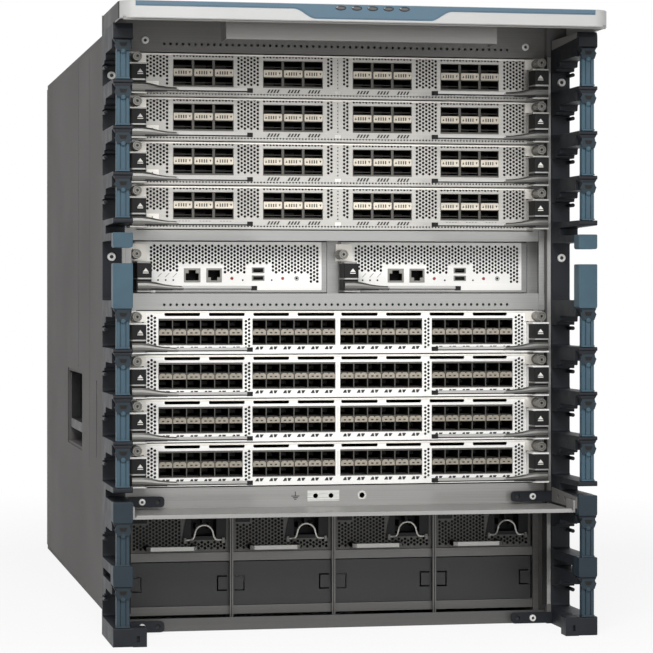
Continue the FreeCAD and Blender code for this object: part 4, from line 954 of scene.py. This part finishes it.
def add_lens(shape, x, y, z, sides=24):
    """Lens as an oval dome, open at the back."""
    profile = ((0.35, -1.40), (0.7, -1.32), (0.92, -1.12), (1.0, -0.8), (1.0, -0.4))
    angles = [-2 * math.pi * k / sides for k in range(sides)]
    points = [(x + 5.25 * size * math.cos(angle), y + ahead, z + 2.4 * size * math.sin(angle))
              for size, ahead in profile for angle in angles]
    shape.add(points, ring_faces(len(profile), sides)[:-1])


# ---------------------------------------------------------------- cable frames

ARM_RISE = 8.3                    # window above the bottom of its slot
WINDOW_TOP = 38.75
LOW_WINDOW = 20                   # a lower window has no gate
FRAME_FRONT = low("left_cable_frame")[1]
FRAME_PLATE = -EAR_FRONT - 3.0    # front of the back plate
FRAME_MIDDLE = -(RACK_HALF + FRAME_IN) / 2
POST = 17.7                       # depth of the blocks between the windows
NECK = 8.0                        # height of the narrow part above each gate
MID_GAP = (CONTROL - 6.8, CONTROL + 51.3)     # the deep opening beside the supervisors
NOTCH = 14.0                      # from the top of an arm to the block under it
LOW_ARM = 20                      # lower arms have no block
LIP = 3.8                         # height of a low arm's tip
FOOT_TOP = BLANK_LOW - 3.7


def windows():
    """Bottom and top of every cable window, from the top down.

    0 to 3 are beside cards, 4 beside the supervisors, 5 to 8 beside cards, 9 beside the power
    supplies and 10 beside the blanks.
    """
    found = [(SLOTS[n] + ARM_RISE, SLOTS[n] + WINDOW_TOP) for n in (1, 2, 3, 4)]
    found.append((CONTROL + 29, CONTROL + 44))
    found += [(SLOTS[n] + ARM_RISE, SLOTS[n] + WINDOW_TOP) for n in (5, 6, 7, 8)]
    found.append((UNIT_LOW + 1, UNIT_LOW + 34))
    found.append((FOOT_TOP, BLANK_LOW + 27.4))
    return found


def cable_frame():
    """Left cable frame from its side: a back plate with an arm at each slot boundary."""
    front = FRAME_FRONT
    back = -EAR_FRONT
    plate = FRAME_PLATE
    post = front + POST
    lobe = plate - 29
    seat = front + 12             # what the gates close against
    top = high("left_cable_frame")[2]
    found = windows()
    shoulder = found[0][1] + NECK
    corners = [(back, 0, 0), (back, top, 0), (front + 2, top, 3.0), (front, top - 5, 3.0),
               (front, shoulder, 2.0), (seat, shoulder, 0), (seat, found[0][1], 1.0)]
    for k, (bottom, ceiling) in enumerate(found):
        if k == 4:
            corners += [(plate, MID_GAP[1], 2.0), (plate, MID_GAP[0], 2.0), (post, MID_GAP[0], 0)]
        else:
            corners += [(lobe, ceiling, 3.0), (lobe, ceiling - 6.0, 3.0),
                        (plate - 17, ceiling - 6.0, 1.5), (plate - 17, ceiling - 9.3, 1.5),
                        (plate, ceiling - 9.3, 1.0), (plate, bottom, 3.0)]
        if k == len(found) - 1:
            corners += [(front, bottom, 1.8), (front, 0, 2.5)]
            continue
        below = found[k + 1][1]
        if k == 4:
            corners.append((post, below + NECK, 0))
        elif k == 9:
            corners += [(post, bottom, 0), (post, below + NECK, 0)]
        elif bottom - below < LOW_ARM:
            corners += [(front, bottom, 1.8), (front, bottom - LIP, 1.5), (seat, bottom - LIP, 0)]
        else:
            corners += [(front, bottom, 1.8), (front, bottom - 5.0, 2.0), (lobe, bottom - 6.0, 2.0),
                        (lobe, bottom - NOTCH, 2.0), (post, bottom - NOTCH, 0)]
            corners.append((post, MID_GAP[1], 0) if k == 3 else (post, below + NECK, 0))
        if k in (4, 8, 9):
            corners.append((seat, below + NECK, 0))
        if k != 3:
            corners.append((seat, below, 1.0))
    shape = Shape("frame_black")
    slit = rounded_oblong(front + 23.7, plate - 6, BLANK_LOW + 37.7, BLANK_LOW + 45.7, 2.5)
    shape.plate(soften(corners), [slit], -RACK_HALF, -FRAME_IN, "X")
    upper = SHELF + 4.3
    for floor, height in ((1.0, 11.0), (upper, 10.7)):
        reach = 43.0 - FRAME_IN
        tab = soften([(-FRAME_IN, floor, 0), (reach, floor, 4.0), (reach, floor + height, 4.0),
                      (-FRAME_IN, floor + height, 0)])
        shape.plate(tab, [ring(reach - 6.5, floor + height / 2, 2.6, 16)], plate, back)
    foot = oblong(-FRAME_IN, 13.5 - FRAME_IN, 0, FOOT_TOP)
    slot = oblong(3.6 - FRAME_IN, 6.4 - FRAME_IN, 4.8, 10.6)
    shape.plate(foot, [slot], front, front + 3)
    shape.box(-FRAME_IN, 13.5 - FRAME_IN, front + 3, post, 0, FOOT_TOP)
    narrow = [(found[0][1] + NECK, found[0][1])]
    for k, (bottom, _) in enumerate(found[:-1]):
        below = found[k + 1][1]
        if k != 3:
            narrow.append((bottom - LIP if bottom - below < LOW_ARM else below + NECK, below))
    for start, end in narrow:
        neck = [(-9.2, start), (-6.8, start - 4.0), (-6.4, end), (6.4, end), (6.8, start - 4.0),
                (9.2, start)]
        shape.prism([(FRAME_MIDDLE + x, z) for x, z in neck], front + 0.6, seat)
    for bottom, ceiling in found:
        if ceiling - bottom > LOW_WINDOW:
            shape.turned([(1.6, plate - 18), (2.0, plate - 17.4), (2.0, plate)],
                         1.6 - RACK_HALF, (bottom + ceiling) / 2 + 2.5, 12)
    return shape


def gate(height, teal):
    """Cable gate from the bottom of its window: a grooved bar under a hook with wings."""
    shape = Shape(teal)
    middle = FRAME_MIDDLE
    front = FRAME_FRONT
    y0 = front + 0.5
    top = height - 3.4
    bar = [(-6.4, y0 + 8), (-6.4, y0 + 0.8), (-5.6, y0), (-3.1, y0), (-3.1, y0 + 1.4),
           (-2.1, y0 + 1.4), (-2.1, y0 - 0.3)]
    bar += [(-x, y) for x, y in reversed(bar)]
    shape.prism([(middle + x, y) for x, y in bar], 1.8, top, "Z")
    shape.box(middle - 6.6, middle + 6.6, y0 - 0.9, y0 + 8, 0.2, 1.8)
    shape.box(middle - 6.4, middle + 6.4, y0, y0 + 8, top, height)
    shape.mark = "gate_dark"
    hook = [(6.2, -3.4), (8.2, 2.2), (7.0, 4.0), (6.4, 6.9)]
    hook = [(-6.2, -3.4)] + hook + [(-x, z) for x, z in reversed(hook[1:])]
    shape.prism([(middle + x, height + z) for x, z in hook], front - 1.4, front + 0.6)
    shape.mark = teal
    shape.turned([(1.6, front - 2.0), (2.6, front - 1.0), (2.6, front + 0.5)],
                 middle, height - 3.6, 20)
    shape.mark = "port_dark"
    slot = [(-2.4, 0.8), (2.4, 0.8), (4.0, 4.4), (-4.0, 4.4)]
    shape.prism([(middle + x, height + z) for x, z in slot], front - 1.7, front - 1.4)
    return shape


def build_cable_frames():
    """Both cable frames, the caps on them, and a gate in front of every tall window."""
    pair("frame", cable_frame(), 0.9, "cable_frame")
    build_end_caps()
    shapes = {}
    for number, (bottom, ceiling) in enumerate(windows()):
        height = round(ceiling - bottom, 2)
        if height < LOW_WINDOW:
            continue
        if height not in shapes:
            # Gates beside the power supplies and blanks take the darker teal as painted shade,
            # darker towards the bottom.
            left = gate(height, "gate_teal" if number < 9 else "gate_teal_painted_shade")
            shapes[height] = (("left", left), ("right", left.mirrored()))
        for side, shape in shapes[height]:
            piece("gate_%d_%s" % (number + 1, side), shape, at=(0, 0, bottom),
                  bevel=0.3, instead_of="cable_gates")


def build_end_caps():
    """Coloured blocks at the ends of the tall arms between the windows; the lower two darker as
    painted shade.
    """
    found = windows()
    for name, bottom, top, finish in (
        ("upper", found[4][1], found[3][0] - NOTCH, "gate_teal"),
        ("lower", found[5][1] + NECK, found[4][0], "gate_teal"),
        # The shelf and unit caps take the darker gate_dark as painted shade, darker towards the
        # bottom.
        ("shelf", found[9][1] + NECK, found[8][0] - NOTCH, "gate_dark"),
        ("unit", found[10][1] + NECK, found[9][0], "gate_dark"),
    ):
        shape = Shape(finish)
        outline = soften([(-RACK_HALF, bottom, 2.4), (-FRAME_IN, bottom, 2.4),
                          (-FRAME_IN, top, 1.2), (-RACK_HALF, top, 1.2)])
        shape.prism(outline, FRAME_FRONT, FRAME_FRONT + POST)
        pair(name + "_cap", shape, 0.5)


def build_screws():
    """Round pale heads with a dark middle, on the frames, on their tabs and on the header."""
    edge = FRAME_IN
    tabs = (6.5, SHELF + 9.6)
    shape = Shape("mark_dark")
    for z in tabs:
        for side in (-1, 1):
            shape.turned([(2.6, -EAR_FRONT - 0.4), (2.6, -EAR_FRONT - 0.2)],
                         side * (edge - 36.5), z, 16)
    heads = [(edge + 10.1, TOP - 59.9, FRAME_PLATE, 4.2),
             (edge + 10.1, CONTROL + 36.5, FRAME_PLATE, 4.2),
             (edge - 20.5, tabs[1], FRAME_PLATE, 3.4), (edge - 20.5, tabs[0], FRAME_PLATE, 3.4),
             (edge - 25.0, TOP - 22.9, 0, 3.8)]
    for x, z, face, radius in heads:
        for side in (-1, 1):
            shape.mark = "head_pale"
            shape.turned([(radius * 0.42, face - 1.2), (radius * 0.5, face - 2.2),
                          (radius * 0.86, face - 2.0), (radius, face - 1.2), (radius, face)],
                         side * x, z, 28)
            shape.mark = "mark_dark"
            shape.turned([(radius * 0.4, face - 1.3), (radius * 0.42, face - 1.2)],
                         side * x, z, 20)
    piece("screw_heads", shape, smooth=True, instead_of="frame_screws")


# ---------------------------------------------------------------- fan trays

def fan_tray(node):
    """Fan tray at the back: its face with three perforated windows over the fans."""
    (x0, front, z0), (x1, y1, z1) = low(node), high(node)
    middle = (x0 + x1) / 2
    face = y1 - 7.0
    step = (z1 - z0) / 3
    half = 63                     # half a perforated window
    holes = []
    for centre in [z0 + step * (k + 0.5) for k in range(3)]:
        def clear(x, z, centre=centre):
            return 17 < math.hypot(x - middle, z - centre) < 60
        holes += perforation(middle - half, middle + half, centre - half, centre + half,
                             clear, (5.4, 6.2), 2.5)
    shape = Shape("fan_steel")
    shape.plate(oblong(x0, x1, z0, z1), holes, face - 2.0, face)
    shape.box(x0, x1, front, face - 8.0, z0, z1)
    wall = 1.5
    for start, end in ((x0, x0 + wall), (x1 - wall, x1)):
        shape.box(start, end, face - 8, face - 2, z0, z1)
    for start, end in ((z0, z0 + wall), (z1 - wall, z1)):
        shape.box(x0 + wall, x1 - wall, face - 8, face - 2, start, end)
    shape.mark = "port_dark"
    shape.box(x0 + 1.6, x1 - 1.6, face - 8.0, face - 7.4, z0 + 1.6, z1 - 1.6)
    shape.mark = "handle_black"
    for z in (z0 + 4, z1 - 9):
        for x in (middle - 30, middle + 24):
            shape.box(x, x + 6, face, y1 - 2, z, z + 5)
        shape.box(middle - 30, middle + 30, y1 - 3, y1, z, z + 5)
    return shape


def build_fans():
    """Three fan trays side by side at the back."""
    for number in (1, 2, 3):
        node = "fan_tray_%d" % number
        piece("fans_%d" % number, fan_tray(node), node)


# ---------------------------------------------------------------- small additions

WELL = (404.0, 581.0, 159.0, 250.0)         # round the lifting handle
SEAMS = ((315.5, 318.5, 146.0, TOP - 8.0), (446.5, 449.5, WELL[3] + 4.0, TOP - 8.0))


def build_side_skins():
    """One thin skin a side, with a hole round the handle, whose slots show as seams."""
    edge = -BODY_HALF
    holes = [oblong(*seam) for seam in SEAMS]
    holes += [rounded_oblong(239.0, 247.0, 160.0, 245.0, 3.0, 3), oblong(*WELL)]
    shape = Shape("side_steel")
    shape.plate(oblong(12.0, 882.0, 6.0, TOP - 6.0), holes, edge - 0.7, edge, "X")
    shape.mark = "seam_dark"
    for seam in SEAMS:
        shape.box(edge - 0.15, edge, *seam)
    pair("skin", shape)


def build_front_edges():
    """Folded edges beside the card cage and the power bay, sheets on the frames, dividers."""
    edge = -FRAME_IN
    front, back = FRAME_FRONT + 6, -EAR_FRONT - 5
    holes = [ring(y, SHELF + 11.0, 2.4, 16) for y in (-86, -62, -38)]
    # Painted shade: the left fold takes the darker plate_grey, the right one rail_silver.
    for side, fold in (("left", "plate_grey"), ("right", "rail_silver")):
        shape = Shape("rail_silver")
        shape.box(edge + 0.6, edge + 4.2, -EAR_FRONT - 0.8, -EAR_FRONT, 146, TOP - 34)
        shape.box(edge + 5.2, edge + 11.0, -1.6, -0.4, SLOTS[5] + SLOT_PITCH, SLOTS[4] - 0.4)
        shape.mark = "port_dark"
        shape.box(edge + 5.0, edge + 9.6, -EAR_FRONT - 0.5, -EAR_FRONT, 20, SHELF - 1)
        shape.mark = fold
        shape.box(edge + 0.8, edge + 4.6, -EAR_FRONT - 0.8, -EAR_FRONT, 20, SHELF - 1)
        shape.mark = "plate_grey"
        shape.plate([(front, SHELF + 4.2), (back, SHELF + 4.2), (back, SHELF + 19.0),
                     (front, SHELF + 15.5)], holes, edge, edge + 0.8, "X")
        shape.prism([(front, TOP - 22.6), (back, TOP - 27.0), (back, TOP - 17.4),
                     (front, TOP - 17.4)], edge, edge + 0.8, "X")
        if side == "right":
            shape = shape.mirrored()
        piece(side + "_front_edges", shape)
    shape = Shape("bay_grey")
    for x in (-UNIT_PITCH, 0.0, UNIT_PITCH):
        shape.mark = "bay_grey"
        shape.box(x - 1.7, x - 0.4, 21.6, 22.6, 4, SHELF - 1)
        shape.box(x + 0.4, x + 1.7, 21.6, 22.6, 4, SHELF - 1)
        shape.mark = "port_dark"
        shape.box(x - 0.4, x + 0.4, 22.2, 22.6, 4, SHELF - 1)
    piece("bay_dividers", shape)


def build_ground_pad():
    """Bright pad behind the two lug holes, the rim of the jack hole and a ground symbol."""
    level = SHELF + 12.6
    lug, jack, symbol = -15.1, 25.0, -44.0
    shape = Shape("pad_bright")
    holes = [ring(lug - 7.95, level, 2.5, 20), ring(lug + 7.95, level, 2.5, 20)]
    shape.plate(oblong(-31.5, 1.4, level - 5.4, level + 5.4), holes, -0.35, 0)
    shape.plate(ring(jack, level, 4.6, 24), [ring(jack, level, 2.75, 20)], -0.5, 0)
    shape.mark = "mark_dark"
    shape.box(symbol - 0.4, symbol + 0.4, -0.25, 0, level, level + 4.6)
    for k, reach in enumerate((4.2, 2.7, 1.2)):
        z = level - 1.6 * k
        shape.box(symbol - reach, symbol + reach, -0.25, 0, z - 0.4, z + 0.4)
    piece("ground_pad", shape)


def paint_frame():
    """Finishes of the CAD nodes that are shown as they are."""
    finishes = {"base_pan": "base_grey", "card_cage": "zinc_sheet", "midplane": "board_green",
                "lower_panel": "shelf_grey", "power_bay_frame": "bay_grey"}
    for side in ("left", "right"):
        finishes[side + "_side_panel"] = "side_steel"
        finishes[side + "_handle"] = "handle_black"
    for number in range(5, 9):
        finishes["power_blank_%d" % number] = "blank_grey"
    for node, finish in finishes.items():
        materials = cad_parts[node].data.materials
        materials.clear()
        materials.append(FINISHES[finish])


# ---------------------------------------------------------------- stage

def direct_rays(tree):
    """One for what is seen directly, in a mirror or through glass, and zero for plain bounces."""
    rays = add_node(tree, "LightPath")
    value = rays.outputs["Is Camera Ray"]
    for kind in ("Is Glossy Ray", "Is Transmission Ray"):
        larger = add_node(tree, "Math", "MAXIMUM")
        tree.links.new(value, larger.inputs[0])
        tree.links.new(rays.outputs[kind], larger.inputs[1])
        value = larger.outputs["Value"]
    return value


def show_directly(tree, share, plain, seen, output):
    """Send to the output a mix of two shaders, with the second in this share."""
    mixed = add_node(tree, "MixShader")
    for index, source in enumerate((share, plain, seen)):
        tree.links.new(source, mixed.inputs[index])
    tree.links.new(mixed.outputs["Shader"], tree.nodes[output].inputs["Surface"])


def floor_finish():
    """White floor that keeps a soft shadow close by and melts into the background further off."""
    white = bpy.data.materials.new("floor_white")
    white.use_nodes = True
    tree = white.node_tree
    link = tree.links.new
    shader = tree.nodes["Principled BSDF"]
    shader.inputs["Base Color"].default_value = (0.93, 0.93, 0.93, 1)
    shader.inputs["Roughness"].default_value = 0.9
    bright = add_node(tree, "Emission", Strength=1.0)
    place = add_node(tree, "TexCoord")
    reach = add_node(tree, "VectorMath", "LENGTH")
    link(place.outputs["Object"], reach.inputs[0])
    fade = add_node(tree, "MapRange", From_Min=0.6, From_Max=1.5, To_Min=0.86, To_Max=1.0)
    link(reach.outputs["Value"], fade.inputs["Value"])
    share = add_node(tree, "Math", "MULTIPLY")
    link(fade.outputs["Result"], share.inputs[0])
    link(direct_rays(tree), share.inputs[1])
    show_directly(tree, share.outputs["Value"], shader.outputs["BSDF"],
                  bright.outputs["Emission"], "Material Output")
    return white


# Name, place, size, power and what the lamp points at.
LAMPS = (
    ("key", (-0.6, -2.5, 1.9), 1.1, 62, (0, -0.2, 0.5)),
    ("front", (0.7, -3.6, 0.9), 1.6, 14, (0, 0, 0.35)),
    ("side", (-3.2, 0.9, 1.2), 1.8, 4, (0, 0.3, 0.25)),
)


def build_stage():
    """White floor that fades into the surroundings, soft light and the camera."""
    scene = bpy.context.scene
    scene.view_settings.view_transform = "Standard"
    world = bpy.data.worlds.new("surroundings")
    scene.world = world
    world.use_nodes = True
    tree = world.node_tree
    glow = tree.nodes["Background"]
    glow.inputs["Color"].default_value = (1.0, 1.0, 1.0, 1)
    glow.inputs["Strength"].default_value = 0.30
    seen = add_node(tree, "Background", Color=(1, 1, 1, 1))
    show_directly(tree, direct_rays(tree), glow.outputs["Background"],
                  seen.outputs["Background"], "World Output")
    bpy.ops.mesh.primitive_plane_add(size=30)
    floor = bpy.context.object
    floor.name = "floor"
    floor.data.materials.append(floor_finish())
    for name, place, size, power, aim in LAMPS:
        lamp = bpy.data.lights.new(name, "AREA")
        lamp.energy = power
        lamp.size = size
        item = bpy.data.objects.new(name, lamp)
        scene.collection.objects.link(item)
        item.location = place
        item.rotation_euler = (Vector(aim) - Vector(place)).to_track_quat("-Z", "Y").to_euler()
    lens = bpy.data.cameras.new("camera")
    lens.lens = 144.2
    lens.sensor_width = 36
    lens.shift_y = -0.05
    camera = bpy.data.objects.new("camera", lens)
    scene.collection.objects.link(camera)
    camera.location = spot(-515.67, -2611.82, 339.55)
    camera.rotation_euler = (math.radians(90), 0, math.radians(-10.92))
    scene.camera = camera


build_cards()
build_ejectors()
build_supervisors()
build_power_units()
build_panels()
build_hood()
build_cable_frames()
build_screws()
build_fans()
build_side_skins()
build_front_edges()
build_ground_pad()
paint_frame()
build_stage()
